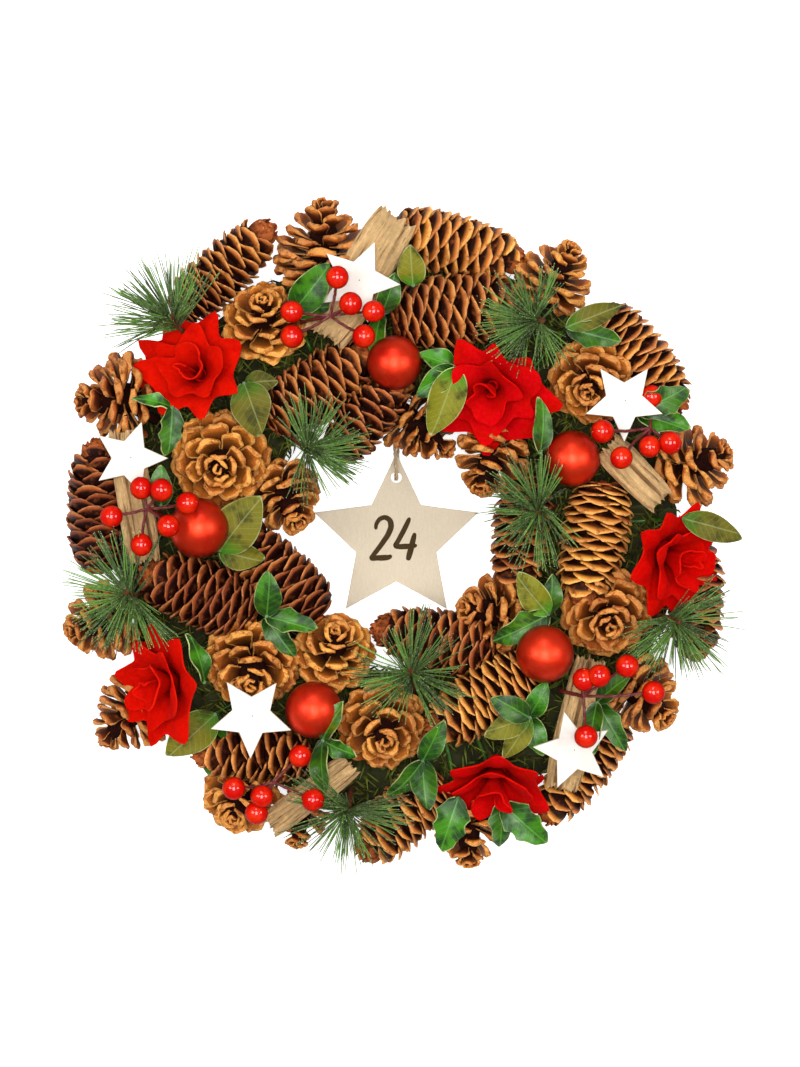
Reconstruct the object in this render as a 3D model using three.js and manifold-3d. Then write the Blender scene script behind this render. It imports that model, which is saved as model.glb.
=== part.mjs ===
// A 36 cm Christmas wreath that lies on its flat back, face up.
// Millimetres, +Z up and out of the wreath's face, +Y towards the top of the wreath.
// The origin is in the middle of the ring, on the surface that the back rests on.
import * as THREE from "three";
import { mergeVertices } from "three/addons/utils/BufferGeometryUtils.js";
import Module from "manifold-3d";

const wasm = await Module();
wasm.setup();

// Driving dimensions
const RING_INNER = 75; // radius of the base ring's hole
const RING_OUTER = 152; // radius of the base ring's rim
const RING_HEIGHT = 22; // thickness of the base ring
const RING_BEVEL = 8; // slope of the base ring's upper edges
const RING_SIDES = 28;
const STEM_TRACK = 110; // radius of the groove in which the leaf stems lie
const STEM_WIRE = 1.2; // half the thickness of a leaf stem
const TRACK_DEPTH = 4;
const GAP = 0.35; // clearance between pieces that touch
const BERRY_RADIUS = 6.1;
const BERRY_WIRE = 1; // half the thickness of a berry stalk
const STAR_THICKNESS = 3;
const SMALL_STAR_NOTCH = 0.47; // inner corners of a white star, as a share of its outer radius
const NUMBER_STAR = { x: -1, y: -3, radius: 46.7, notch: 0.49, hole: 3, holeFromTip: 13, lift: 3 };
const TWINE_RADIUS = 0.95;
const PEG_RADIUS = 3; // half the thickness of the peg under a cone
const FIRM_JOINT = 40; // mm3 that two fused cones share at least
const NEEDLE_WIDTH = 1.8;
const LEAF_THICKNESS = 0.7; // half the thickness of a leaf where it is thickest
const LEAF_STEP = 3; // distance along a shoot from one leaf to the next
const STEM_STEPS = 6; // straight lengths in a leaf stem

// Radius of a cone along its axis, from the stalk end to the tip, as shares of length and half width
const SPRUCE_OUTLINE = [
  [0, 0.5], [0.1, 0.82], [0.25, 0.97], [0.4, 1], [0.6, 0.95], [0.8, 0.83], [0.92, 0.63], [1, 0.3],
];
const PINE_OUTLINE = [[0, 0.55], [0.2, 0.95], [0.35, 1], [0.55, 0.88], [0.75, 0.64], [0.9, 0.4], [1, 0.14]];

// Each cone's middle in mm, the compass heading of its tip in the wreath's face (0 is +X, 90 is +Y),
// how far the tip stands up from that face in degrees, its length and its width.
const spruce = (x, y, z, heading, tilt, length, width) =>
  ({ kind: "spruce", x, y, z, heading, tilt, length, width });
const pine = (x, y, z, heading, tilt, length, width) =>
  ({ kind: "pine", x, y, z, heading, tilt, length, width });
const CONES = {
  cones_upper_left: [
    spruce(-94, 141, 38, 43, 5, 69, 33),
    pine(-40, 155, 37, 90, 15, 52, 57),
    pine(-72, 116, 43, 90, 62, 40, 48),
  ],
  cones_top: [
    spruce(33, 155, 29, -15, 0, 69, 35),
    spruce(33, 120, 41, 8, 5, 67, 41),
    pine(86, 140, 37, 60, 30, 40, 44),
  ],
  cones_upper_right: [spruce(131, 94, 28, -49, 0, 67, 35), pine(103, 80, 43, 250, 72, 42, 48)],
  cone_right: [pine(161, 38, 36, 20, 25, 42, 50)],
  cone_right_edge: [spruce(161, -36, 21, 270, 0, 61, 33)],
  cones_right_inner: [
    spruce(105, -5, 41, 260, 3, 66, 39),
    spruce(66, -1, 34, 262, 0, 63, 33),
    pine(112, -44, 44, 270, 72, 44, 51),
  ],
  cones_lower_right: [spruce(100, -126, 26, 234, 0, 69, 33), pine(133, -89, 40, 320, 30, 42, 46)],
  cones_inner_lower_right: [pine(49, -42, 36, 170, 35, 40, 46), spruce(20, -57, 35, 170, 0, 65, 35)],
  cones_lower: [spruce(45, -89, 41, 213, 5, 65, 38), pine(-8, -105, 43, 280, 70, 42, 51)],
  cones_bottom: [spruce(2, -152, 37, 224, 5, 59, 36), pine(38, -162, 31, 270, 20, 38, 42)],
  cones_bottom_left: [
    spruce(-78, -119, 37, 178, 3, 61, 31),
    pine(-86, -145, 31, 250, 58, 36, 44),
    pine(-53, -155, 27, 260, 20, 32, 34),
  ],
  cones_lower_left: [pine(-78, -72, 43, 270, 62, 44, 54), pine(-34, -61, 38, 80, 60, 40, 46)],
  cones_left_inner: [spruce(-107, -32, 41, 160, 8, 63, 39), spruce(-66, -21, 34, 135, 0, 67, 37)],
  cones_left_low_edge: [pine(-162, -48, 32, 200, 30, 40, 46), pine(-146, -99, 24, 225, 5, 44, 46)],
  cones_left: [pine(-154, 72, 33, 185, 15, 42, 54), spruce(-162, 15, 24, 92, 0, 67, 35)],
  cones_inner_left: [pine(-95, 38, 43, 270, 78, 44, 56), pine(-60, 17, 34, 300, 35, 40, 44)],
  cones_inner_upper_left: [spruce(-42, 79, 40, 34, 5, 65, 37), spruce(-17, 62, 46, 50, 5, 51, 30)],
  cones_inner_top: [pine(49, 37, 35, 250, 30, 40, 44), pine(12, 57, 29, -40, 15, 48, 40)],
};

// Driftwood: middle, heading of its length, length, width and thickness
const DRIFTWOOD = {
  driftwood_top: { x: -20, y: 137, z: 52, heading: 58, length: 76, width: 30, thickness: 11 },
  driftwood_left: { x: -141, y: 20, z: 46, heading: 100, length: 72, width: 20, thickness: 9 },
  driftwood_right: { x: 126, y: 32, z: 52, heading: -46, length: 43, width: 20, thickness: 16 },
  driftwood_bottom: { x: -47, y: -140, z: 46, heading: 37, length: 56, width: 17, thickness: 13 },
  driftwood_low_right: { x: 95, y: -102, z: 46, heading: 77, length: 72, width: 21, thickness: 10 },
};

// White stars: middle of the underside, outer radius, compass angle of one point, and a small lean
const WHITE_STARS = {
  star_top: { x: -21, y: 134, z: 60, radius: 22.5, point: 67, lean: 3, towards: 200 },
  star_left: { x: -143, y: 40, z: 51, radius: 20.5, point: 72, lean: 3, towards: 100 },
  star_right: { x: 120, y: 70, z: 59, radius: 21.5, point: -90, lean: 2, towards: 90 },
  star_low_left: { x: -78, y: -97, z: 59, radius: 22.5, point: -91, lean: 4, towards: 270 },
  star_low_right: { x: 93, y: -115, z: 60, radius: 21.5, point: 103, lean: 6, towards: 250 },
};

// Baubles: middle and radius
const BAUBLES = {
  bauble_top: { x: -2, y: 91, z: 54, radius: 14.7 },
  bauble_right: { x: 93, y: 40, z: 52, radius: 15 },
  bauble_left: { x: -106, y: 3, z: 56, radius: 16 },
  bauble_low_right: { x: 78, y: -64, z: 60, radius: 15.4 },
  bauble_low_left: { x: -45, y: -94, z: 54, radius: 15.2 },
};

// Roses: foot, heading and rise of the axis that the bloom faces along, and its radius
const ROSES = {
  rose_upper_left: { x: -106, y: 84, z: 38, heading: 150, tilt: 66, radius: 31 },
  rose_upper_right: { x: 53, y: 80, z: 38, heading: 240, tilt: 70, radius: 31 },
  rose_right: { x: 140, y: -8, z: 38, heading: 345, tilt: 44, radius: 31 },
  rose_left: { x: -118, y: -80, z: 42, heading: 190, tilt: 46, radius: 32 },
  rose_bottom: { x: 53, y: -124, z: 38, heading: 268, tilt: 42, radius: 31 },
};

// Berry sprays: the foot on the ring, the fork, and each berry, with stalks from the fork
const BERRY_SPRAYS = {
  berries_top: {
    foot: [-50, 113],
    fork: [-36, 115, 70],
    berries: [
      [-32, 135, 76], [-25, 121, 79], [-13, 117, 77], [-18, 104, 76], [-56, 117, 75], [-56, 104, 74],
    ],
  },
  berries_left: {
    foot: [-125, 9],
    fork: [-133, 13, 66],
    berries: [
      [-136, 24, 68], [-125, 23, 72], [-152, 9, 64], [-111, 16, 76], [-121, 4, 78], [-136, -6, 66],
    ],
  },
  berries_right: {
    foot: [132, 50],
    fork: [134, 56, 60],
    berries: [[135, 73, 56], [108, 54, 70], [118, 40, 71], [133, 46, 70], [144, 48, 68]],
  },
  berries_bottom: {
    foot: [-62, -130],
    fork: [-66, -132, 62],
    berries: [[-52, -118, 64], [-87, -135, 66], [-72, -139, 70], [-75, -148, 66], [-45, -141, 68]],
  },
  berries_low_right: {
    foot: [88, -84],
    fork: [98, -86, 70],
    berries: [[121, -70, 72], [98, -77, 74], [106, -75, 77], [135, -84, 70], [99, -107, 76]],
  },
};

// Pine needle tufts: crown of the tuft, the way its twig points, needle length, and the middle and half
// width of the fan of compass headings that the needles fill
const NEEDLE_TUFTS = {
  needles_upper_left: { x: -119, y: 112, z: 56, heading: 120, tilt: 55, length: 34, middle: 128, half: 75 },
  needles_inner_left: { x: -48, y: 44, z: 56, heading: 110, tilt: 60, length: 29, middle: 65, half: 85 },
  needles_upper_right: { x: 73, y: 113, z: 57, heading: 5, tilt: 50, length: 27, middle: 175, half: 135 },
  needles_right: { x: 75, y: 13, z: 58, heading: 250, tilt: 55, length: 30, middle: 190, half: 135 },
  needles_left: { x: -142, y: -33, z: 56, heading: 150, tilt: 60, length: 32, middle: 190, half: 125 },
  needles_low: { x: 7, y: -75, z: 58, heading: 90, tilt: 65, length: 31, middle: 95, half: 160 },
  needles_bottom: { x: -27, y: -147, z: 56, heading: 200, tilt: 60, length: 31, middle: 255, half: 125 },
  needles_low_edge: { x: 147, y: -46, z: 50, heading: 320, tilt: 50, length: 31, middle: 300, half: 115 },
};
const NEEDLES_PER_TUFT = 14;

// Leaf sprays. Each stem lies in the ring's groove between two compass angles, and a shoot
// leaves it for each group of leaves: [x, y, z] of the shoot's top, then each leaf's heading,
// rise, length and width.
const LEAF_SPRAYS = {
  leaves_upper_left: {
    arc: [88, 158],
    shoots: [
      { top: [-56, 118, 58], leaves: [[50, 16, 32, 19], [8, 10, 22, 12]] },
      { top: [-9, 117, 54], leaves: [[70, 20, 24, 13], [262, 15, 25, 12]] },
      { top: [-82, 80, 54], leaves: [[290, 12, 29, 22], [5, 5, 18, 12]] },
      { top: [-120, 67, 61], leaves: [[266, 0, 26, 14], [165, 8, 22, 9]] },
    ],
  },
  leaves_left: {
    arc: [160, 226],
    shoots: [
      { top: [-126, 15, 57], leaves: [[88, 20, 22, 13]] },
      { top: [-95, -9, 54], leaves: [[52, 10, 36, 25], [345, 4, 24, 16]] },
      { top: [-70, -44, 57], leaves: [[85, 25, 27, 15], [345, 8, 28, 14], [305, 8, 26, 14]] },
    ],
  },
  leaves_lower_left: {
    arc: [228, 268],
    shoots: [
      { top: [-103, -79, 60], leaves: [[108, 8, 28, 12]] },
      { top: [-98, -97, 42], leaves: [[222, 8, 34, 21], [266, -4, 34, 18]] },
      { top: [-40, -110, 61], leaves: [[60, 12, 24, 11], [335, 6, 20, 11], [272, 6, 30, 13]] },
    ],
  },
  leaves_bottom: {
    arc: [270, 324],
    shoots: [
      { top: [13, -121, 57], leaves: [[65, 20, 26, 13], [230, 10, 26, 13], [275, 12, 27, 15]] },
      { top: [32, -141, 54], leaves: [[252, 2, 30, 20]] },
      { top: [56, -145, 48], leaves: [[318, -4, 32, 20], [270, -8, 26, 15]] },
      {
        top: [70, -98, 57],
        leaves: [
          [150, 15, 24, 14], [198, 10, 26, 14], [240, 6, 26, 13],
          [60, 20, 22, 12], [285, 8, 22, 13],
        ],
      },
      { top: [106, -90, 57], leaves: [[262, 10, 28, 13], [40, 20, 26, 11], [300, 8, 30, 14]] },
    ],
  },
  leaves_right: {
    arc: [-34, 14],
    shoots: [
      { top: [80, -43, 56], leaves: [[130, 12, 28, 16], [208, 8, 32, 18], [82, 20, 22, 12]] },
      { top: [152, 8, 56], leaves: [[345, -4, 34, 15]] },
    ],
  },
  leaves_upper_right: {
    arc: [16, 86],
    shoots: [
      { top: [128, 64, 57], leaves: [[28, 2, 30, 18], [342, 4, 29, 16]] },
      { top: [90, 110, 55], leaves: [[22, 6, 31, 13], [345, 0, 30, 15]] },
      { top: [75, 43, 61], leaves: [[84, 8, 29, 12]] },
      { top: [31, 88, 58], leaves: [[250, 0, 38, 20], [212, 8, 26, 14], [160, 14, 22, 13]] },
      { top: [8, 132, 58], leaves: [[95, 25, 22, 15]] },
    ],
  },
};

// Solids from geometries

const UP = new THREE.Vector3(0, 0, 1);
const toRadians = THREE.MathUtils.degToRad;

function solidOf(geometry) {
  const bare = geometry.index ? geometry.toNonIndexed() : geometry.clone();
  for (const name of Object.keys(bare.attributes)) {
    if (name !== "position") bare.deleteAttribute(name);
  }
  const merged = mergeVertices(bare, 1e-4);
  return new wasm.Manifold(
    new wasm.Mesh({
      numProp: 3,
      vertProperties: merged.attributes.position.array,
      triVerts: new Uint32Array(merged.index.array),
    }),
  );
}

const placed = (geometry, matrix) => solidOf(geometry).transform(matrix.elements);

function geometryOf(solid) {
  const mesh = solid.getMesh();
  const geometry = new THREE.BufferGeometry();
  geometry.setAttribute("position", new THREE.BufferAttribute(mesh.vertProperties, 3));
  geometry.setIndex(new THREE.BufferAttribute(mesh.triVerts, 1));
  geometry.computeVertexNormals();
  return geometry;
}

const join = (solids) => solids.reduce((whole, next) => whole.add(next));

function geometryFrom(points, triangles) {
  const geometry = new THREE.BufferGeometry();
  geometry.setAttribute("position", new THREE.Float32BufferAttribute(points.flat(), 3));
  geometry.setIndex(triangles.flat());
  return geometry;
}

function headingVector(heading, tilt) {
  const flat = Math.cos(toRadians(tilt));
  return new THREE.Vector3(
    Math.cos(toRadians(heading)) * flat,
    Math.sin(toRadians(heading)) * flat,
    Math.sin(toRadians(tilt)),
  );
}

// The matrix that stands a piece made along +Z at a place, facing a heading and tilt.
function standing(at, heading, tilt, turn = 0) {
  const aim = new THREE.Quaternion().setFromUnitVectors(UP, headingVector(heading, tilt));
  const spin = new THREE.Quaternion().setFromAxisAngle(UP, toRadians(turn));
  return new THREE.Matrix4().compose(
    new THREE.Vector3(...at), aim.multiply(spin), new THREE.Vector3(1, 1, 1),
  );
}

function shareOfOutline(outline, along) {
  const last = outline.findIndex(([t]) => t >= along);
  if (last <= 0) return outline[0][1];
  const [t0, r0] = outline[last - 1];
  const [t1, r1] = outline[last];
  return r0 + ((r1 - r0) * (along - t0)) / (t1 - t0);
}

// A repeatable draw between -1 and 1 from a whole number.
function draw(seed) {
  const value = Math.sin(seed * 127.1 + 311.7) * 43758.5453;
  return 2 * (value - Math.floor(value)) - 1;
}

// Cones: a closed skin of raised scales in staggered rows

const CONE_STYLES = {
  spruce: { outline: SPRUCE_OUTLINE, rows: 5, columns: 6, groove: 0.8, rim: 0.6, rimWidth: 0 },
  pine: { outline: PINE_OUTLINE, rows: 5, columns: 5, groove: 0.55, rim: 0.45, rimWidth: 0.5 },
};

function coneGeometry({ kind, length, width }) {
  const style = CONE_STYLES[kind];
  const { outline, rows, columns } = style;
  const step = (2 * Math.PI) / columns;
  const points = [];
  const triangles = [];
  const add = (along, share, angle) => {
    const radius = (shareOfOutline(outline, along) * share * width) / 2;
    points.push([radius * Math.cos(angle), radius * Math.sin(angle), (along - 0.5) * length]);
    return points.length - 1;
  };
  const alongRow = (row) => 0.02 + (0.96 * row) / rows;
  const rings = [];
  for (let row = 0; row <= rows; row += 1) {
    const ring = [];
    for (let column = 0; column < columns; column += 1) {
      ring.push(add(alongRow(row), style.groove, (column + (row % 2) / 2) * step));
    }
    rings.push(ring);
  }
  const at = (row, column) => rings[row][(column + columns) % columns];
  for (let row = 1; row < rows; row += 1) {
    for (let column = 0; column < columns; column += 1) {
      const shift = row % 2;
      const left = at(row, column);
      const right = at(row, column + 1);
      const foot = at(row - 1, column + shift);
      const head = at(row + 1, column + shift);
      const middle = (column + shift / 2 + 0.5) * step;
      const crest = alongRow(row + style.rim);
      if (style.rimWidth === 0 || row === 1) {
        const peak = add(crest, 1, middle);
        triangles.push([foot, right, peak], [right, head, peak], [head, left, peak], [left, foot, peak]);
      } else {
        const spread = (style.rimWidth * step) / 2;
        const peakLeft = add(crest, 1, middle - spread);
        const peakRight = add(crest, 1, middle + spread);
        triangles.push([foot, right, peakRight], [foot, peakRight, peakLeft], [foot, peakLeft, left]);
        triangles.push([right, head, peakRight], [head, peakLeft, peakRight], [head, left, peakLeft]);
      }
    }
  }
  const base = points.push([0, 0, -0.5 * length]) - 1;
  const tip = points.push([0, 0, 0.5 * length]) - 1;
  for (let column = 0; column < columns; column += 1) {
    triangles.push([at(0, column), at(0, column + 1), at(1, column)]);
    triangles.push([at(0, column + 1), at(0, column), base]);
    const next = at(rows, column + 1);
    const shift = rows % 2;
    triangles.push([next, at(rows, column), at(rows - 1, column + shift)]);
    triangles.push([at(rows, column), next, tip]);
  }
  return geometryFrom(points, triangles);
}

// The smooth outer form of a cone, grown by the clearance: what the other pieces keep out of.
function coneEnvelope({ kind, length, width }) {
  const sides = 10;
  const grow = 1 / Math.cos(Math.PI / sides);
  const profile = [new THREE.Vector2(0, -0.5 * length - GAP)];
  for (const [along, share] of CONE_STYLES[kind].outline) {
    const end = along === 0 ? -GAP : along === 1 ? GAP : 0;
    const radius = ((share * width) / 2 + GAP) * grow;
    profile.push(new THREE.Vector2(radius, (along - 0.5) * length + end));
  }
  profile.push(new THREE.Vector2(0, 0.5 * length + GAP));
  return new THREE.LatheGeometry(profile, sides).rotateX(Math.PI / 2);
}

// A group stands on a peg in the ring's top, and a cone that doesn't reach into
// the ones before it is tied to the last of them.
function coneGroup(cones) {
  const place = (cone, geometry) =>
    placed(geometry, standing([cone.x, cone.y, cone.z], cone.heading, cone.tilt));
  const middle = ({ x, y, z }) => [x, y, z];
  const [first] = cones;
  let solid = solidOf(wire([onRingTop(first.x, first.y), middle(first)], PEG_RADIUS));
  cones.forEach((cone, i) => {
    const body = place(cone, coneGeometry(cone));
    if (i > 0 && solid.intersect(body).volume() < FIRM_JOINT) {
      solid = solid.add(solidOf(wire([middle(cones[i - 1]), middle(cone)], PEG_RADIUS)));
    }
    solid = solid.add(body);
  });
  return { solid, clear: join(cones.map((cone) => place(cone, coneEnvelope(cone)))) };
}

// Rods, tubes and wires

function rod(points, radius, sides = 4, steps = points.length * 3) {
  const path = new THREE.CatmullRomCurve3(points.map((p) => new THREE.Vector3(...p)), false, "centripetal");
  const section = new THREE.Shape();
  for (let side = 0; side < sides; side += 1) {
    const angle = ((side + 0.5) * 2 * Math.PI) / sides;
    const x = radius * Math.cos(angle);
    const y = radius * Math.sin(angle);
    if (side === 0) section.moveTo(x, y);
    else section.lineTo(x, y);
  }
  section.closePath();
  return new THREE.ExtrudeGeometry(section, { steps, extrudePath: path, bevelEnabled: false });
}

// A wire that bends at each of its points, with a section of a few sides.
function wire(route, radius, sides = 3) {
  const nodes = route.map((p) => new THREE.Vector3(...p));
  const last = nodes.length - 1;
  const heading = (i) => nodes[i + 1].clone().sub(nodes[i]).normalize();
  let normal = new THREE.Vector3(0.36, 0.48, 0.8);
  const points = [];
  const triangles = [];
  nodes.forEach((node, i) => {
    const tangent = i === 0 ? heading(0) : heading(i - 1);
    if (i > 0 && i < last) tangent.add(heading(i)).normalize();
    normal = normal.clone().addScaledVector(tangent, -normal.dot(tangent)).normalize();
    const across = new THREE.Vector3().crossVectors(tangent, normal);
    for (let side = 0; side < sides; side += 1) {
      const angle = (side * 2 * Math.PI) / sides;
      const point = node.clone().addScaledVector(normal, radius * Math.cos(angle));
      points.push(point.addScaledVector(across, radius * Math.sin(angle)).toArray());
    }
  });
  for (let i = 0; i < last; i += 1) {
    for (let side = 0; side < sides; side += 1) {
      const a = i * sides + side;
      const b = i * sides + ((side + 1) % sides);
      triangles.push([a, b, a + sides], [b, b + sides, a + sides]);
    }
  }
  const end = last * sides;
  for (let side = 1; side < sides - 1; side += 1) {
    triangles.push([0, side + 1, side], [end, end + side, end + side + 1]);
  }
  return geometryFrom(points, triangles);
}

// The point on the ring's flat top, or just inside it, that is nearest to a place above it.
function onRingTop(x, y, z = RING_HEIGHT - 1) {
  const reach = Math.hypot(x, y);
  const margin = RING_BEVEL + 4;
  const kept = THREE.MathUtils.clamp(reach, RING_INNER + margin, RING_OUTER - margin);
  return [(x * kept) / reach, (y * kept) / reach, z];
}

// The base ring: flat back, bevelled shoulders and a groove for the leaf stems

function baseRing() {
  const groove = STEM_WIRE + GAP + 0.6;
  const outline = [
    [RING_INNER, 0], [RING_OUTER, 0], [RING_OUTER, RING_HEIGHT - RING_BEVEL],
    [RING_OUTER - RING_BEVEL, RING_HEIGHT], [STEM_TRACK + groove, RING_HEIGHT],
    [STEM_TRACK + groove, RING_HEIGHT - TRACK_DEPTH], [STEM_TRACK - groove, RING_HEIGHT - TRACK_DEPTH],
    [STEM_TRACK - groove, RING_HEIGHT], [RING_INNER + RING_BEVEL, RING_HEIGHT],
    [RING_INNER, RING_HEIGHT - RING_BEVEL],
  ];
  const profile = outline.map(([r, z]) => new THREE.Vector2(r, z));
  profile.push(profile[0].clone());
  return solidOf(new THREE.LatheGeometry(profile, RING_SIDES).rotateX(Math.PI / 2));
}

// What the other pieces keep out of: the ring with its groove filled, grown by the clearance.
function baseRingEnvelope() {
  const outline = [
    [RING_INNER - GAP, -1], [RING_OUTER + GAP, -1], [RING_OUTER + GAP, RING_HEIGHT - RING_BEVEL + GAP],
    [RING_OUTER - RING_BEVEL + GAP, RING_HEIGHT + GAP], [RING_INNER + RING_BEVEL - GAP, RING_HEIGHT + GAP],
    [RING_INNER - GAP, RING_HEIGHT - RING_BEVEL + GAP],
  ];
  const profile = outline.map(([r, z]) => new THREE.Vector2(r, z));
  profile.push(profile[0].clone());
  return solidOf(new THREE.LatheGeometry(profile, RING_SIDES).rotateX(Math.PI / 2));
}

// Stars

function starShape(radius, notch, point) {
  const shape = new THREE.Shape();
  for (let corner = 0; corner < 10; corner += 1) {
    const reach = corner % 2 === 0 ? radius : radius * notch;
    const angle = toRadians(point + corner * 36);
    const x = reach * Math.cos(angle);
    const y = reach * Math.sin(angle);
    if (corner === 0) shape.moveTo(x, y);
    else shape.lineTo(x, y);
  }
  shape.closePath();
  return shape;
}

function starPlate(star, grow) {
  const shape = starShape(star.radius + 2.5 * grow, star.notch ?? SMALL_STAR_NOTCH, star.point);
  const depth = STAR_THICKNESS + 2 * grow;
  return new THREE.ExtrudeGeometry(shape, { depth, bevelEnabled: false }).translate(0, 0, -grow);
}

function whiteStar(star) {
  const lean = new THREE.Quaternion().setFromUnitVectors(UP, headingVector(star.towards, 90 - star.lean));
  const seat = new THREE.Matrix4().compose(
    new THREE.Vector3(star.x, star.y, star.z), lean, new THREE.Vector3(1, 1, 1),
  );
  return {
    solid: solidOf(starPlate(star, 0).applyMatrix4(seat)),
    clear: solidOf(starPlate(star, GAP).applyMatrix4(seat)),
  };
}

// The number star lies on its two lower points and, at the top, on the back strand of its loop.
function numberStar() {
  const { x, y, radius, notch, hole, holeFromTip, lift } = NUMBER_STAR;
  const shape = starShape(radius, notch, 90);
  shape.holes.push(new THREE.Path().absarc(0, radius - holeFromTip, hole, 0, 2 * Math.PI, true));
  const lowPoint = radius * Math.cos(toRadians(36));
  const slope = Math.atan2(lift, radius - holeFromTip + lowPoint);
  return solidOf(
    new THREE.ExtrudeGeometry(shape, { depth: STAR_THICKNESS, bevelEnabled: false, curveSegments: 6 })
      .translate(0, lowPoint, 0)
      .rotateX(slope)
      .translate(x, y - lowPoint, 0.02),
  );
}

// The twine leaves the ring, comes down in front of the star, passes through its hole
// and goes back behind it.
function twineLoop() {
  const { x, y, radius, holeFromTip } = NUMBER_STAR;
  const hole = y + radius - holeFromTip;
  const ring = RING_INNER - GAP;
  const back = TWINE_RADIUS + 0.3;
  const route = [
    [x - 1.3, ring, 12], [x - 1.3, ring - 8, 11.2], [x - 1.2, hole + 22, 10], [x - 0.6, hole + 10, 9.2],
    [x, hole + 4, 8.6], [x, hole - 0.4, 6.4], [x, hole - 0.6, 2.6], [x, hole + 3.4, back],
    [x + 0.6, hole + 10, back], [x + 1.2, hole + 22, 3.5], [x + 1.3, ring - 8, 7.4], [x + 1.3, ring, 8.4],
  ];
  return solidOf(rod(route, TWINE_RADIUS, 6, 22));
}

// Baubles

function bauble({ x, y, z, radius }) {
  const pick = (thickness) => solidOf(wire([onRingTop(x, y), [x, y, z]], thickness, 4));
  const ball = (size, around, down) =>
    solidOf(new THREE.SphereGeometry(size, around, down).rotateX(Math.PI / 2).translate(x, y, z));
  return {
    solid: ball(radius, 9, 6).add(pick(1.6)),
    clear: ball((radius + GAP) / Math.cos(Math.PI / 12), 12, 8).add(pick(1.6 + GAP + 0.3)),
  };
}

// Berry sprays

function berrySpray({ foot, fork, berries }) {
  const root = [foot[0], foot[1], RING_HEIGHT - 2];
  const knee = [foot[0], foot[1], fork[2] - 14];
  const build = (berryRadius, wireRadius) =>
    join([
      solidOf(wire([root, knee, fork], wireRadius * 1.2)),
      ...berries.map((berry) => berryOnStalk(fork, berry, berryRadius, wireRadius)),
    ]);
  return {
    solid: build(BERRY_RADIUS, BERRY_WIRE),
    clear: build((BERRY_RADIUS + GAP) / Math.cos(Math.PI / 6), BERRY_WIRE + GAP + 0.4),
  };
}

// A berry at the end of its stalk, turned about the stalk.
function berryOnStalk(from, to, berryRadius, wireRadius) {
  const start = new THREE.Vector3(...from);
  const along = new THREE.Vector3(...to).sub(start);
  const reach = along.length();
  const profile = [[0, 0], [wireRadius, 0], [wireRadius, reach - berryRadius]];
  for (const angle of [-28, 28]) {
    const turn = toRadians(angle);
    profile.push([berryRadius * Math.cos(turn), reach + berryRadius * Math.sin(turn) * 1.15]);
  }
  profile.push([0, reach + berryRadius]);
  const aim = new THREE.Quaternion().setFromUnitVectors(UP, along.normalize());
  const turned = new THREE.LatheGeometry(profile.map(([r, z]) => new THREE.Vector2(r, z)), 6);
  return placed(
    turned.rotateX(Math.PI / 2), new THREE.Matrix4().compose(start, aim, new THREE.Vector3(1, 1, 1)),
  );
}

// Roses: nested cups whose rims are cut into petals with three points, on a short foot

// Each layer's petals, how far it lies open, its size and the turn of its first petal
const PETAL_LAYERS = [
  { petals: 4, lean: 64, size: 1, start: 0 },
  { petals: 3, lean: 42, size: 0.88, start: 50 },
  { petals: 2, lean: 20, size: 0.72, start: 80 },
];
const PETAL_THICKNESS = 0.8; // half the thickness of a petal where it is thickest

function petalLayer(radius, { petals, lean, size, start }) {
  const columns = petals * 3;
  const reach = radius * size;
  const rows = [
    { out: 0.1, rise: 0 },
    { out: 0.5 * Math.sin(toRadians(lean)), rise: 0.44 * Math.cos(toRadians(lean)) },
    { out: Math.sin(toRadians(lean + 8)), rise: Math.cos(toRadians(lean + 8)) + 0.04 },
  ];
  // Along a petal's rim: the cleft beside it and its two points
  const rim = [0.7, 1.05, 1.05];
  const points = [];
  const triangles = [];
  const upper = Math.cos(toRadians(lean));
  const sideways = Math.sin(toRadians(lean));
  const ring = (row, thick) => {
    for (let column = 0; column < columns; column += 1) {
      const share = row === 2 ? rim[column % 3] : 1;
      const angle = toRadians(start) + (column * 2 * Math.PI) / columns;
      const r = Math.max(rows[row].out * share * reach - thick * upper, 0.6);
      const height = rows[row].rise * share * reach + thick * sideways;
      points.push([r * Math.cos(angle), r * Math.sin(angle), height]);
    }
  };
  ring(0, PETAL_THICKNESS);
  ring(1, PETAL_THICKNESS);
  ring(2, 0);
  ring(1, -PETAL_THICKNESS);
  ring(0, -PETAL_THICKNESS);
  for (let row = 0; row < 4; row += 1) {
    for (let column = 0; column < columns; column += 1) {
      const next = (column + 1) % columns;
      const [a, b] = [row * columns + column, row * columns + next];
      triangles.push([a, a + columns, b + columns], [a, b + columns, b]);
    }
  }
  const top = points.push([0, 0, points[0][2]]) - 1;
  const bottom = points.push([0, 0, points[4 * columns][2]]) - 1;
  for (let column = 0; column < columns; column += 1) {
    const next = (column + 1) % columns;
    triangles.push([top, column, next], [bottom, 4 * columns + next, 4 * columns + column]);
  }
  return geometryFrom(points, triangles);
}

function roseEnvelope(radius, grow) {
  const outline = [
    [0, -2], [7.5, -2], [0.46 * radius, 0.09 * radius], [1.04 * radius, 0.3 * radius],
    [1.04 * radius, 0.46 * radius], [0.78 * radius, 0.72 * radius], [0.4 * radius, 0.84 * radius],
    [0, 0.84 * radius],
  ];
  const round = 1 / Math.cos(Math.PI / 12);
  const profile = outline.map(([r, z]) => new THREE.Vector2(r === 0 ? 0 : r * round + grow, z));
  profile[0].y -= grow;
  profile[1].y -= grow;
  profile[profile.length - 1].y += grow;
  return new THREE.LatheGeometry(profile, 12).rotateX(Math.PI / 2);
}

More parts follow.
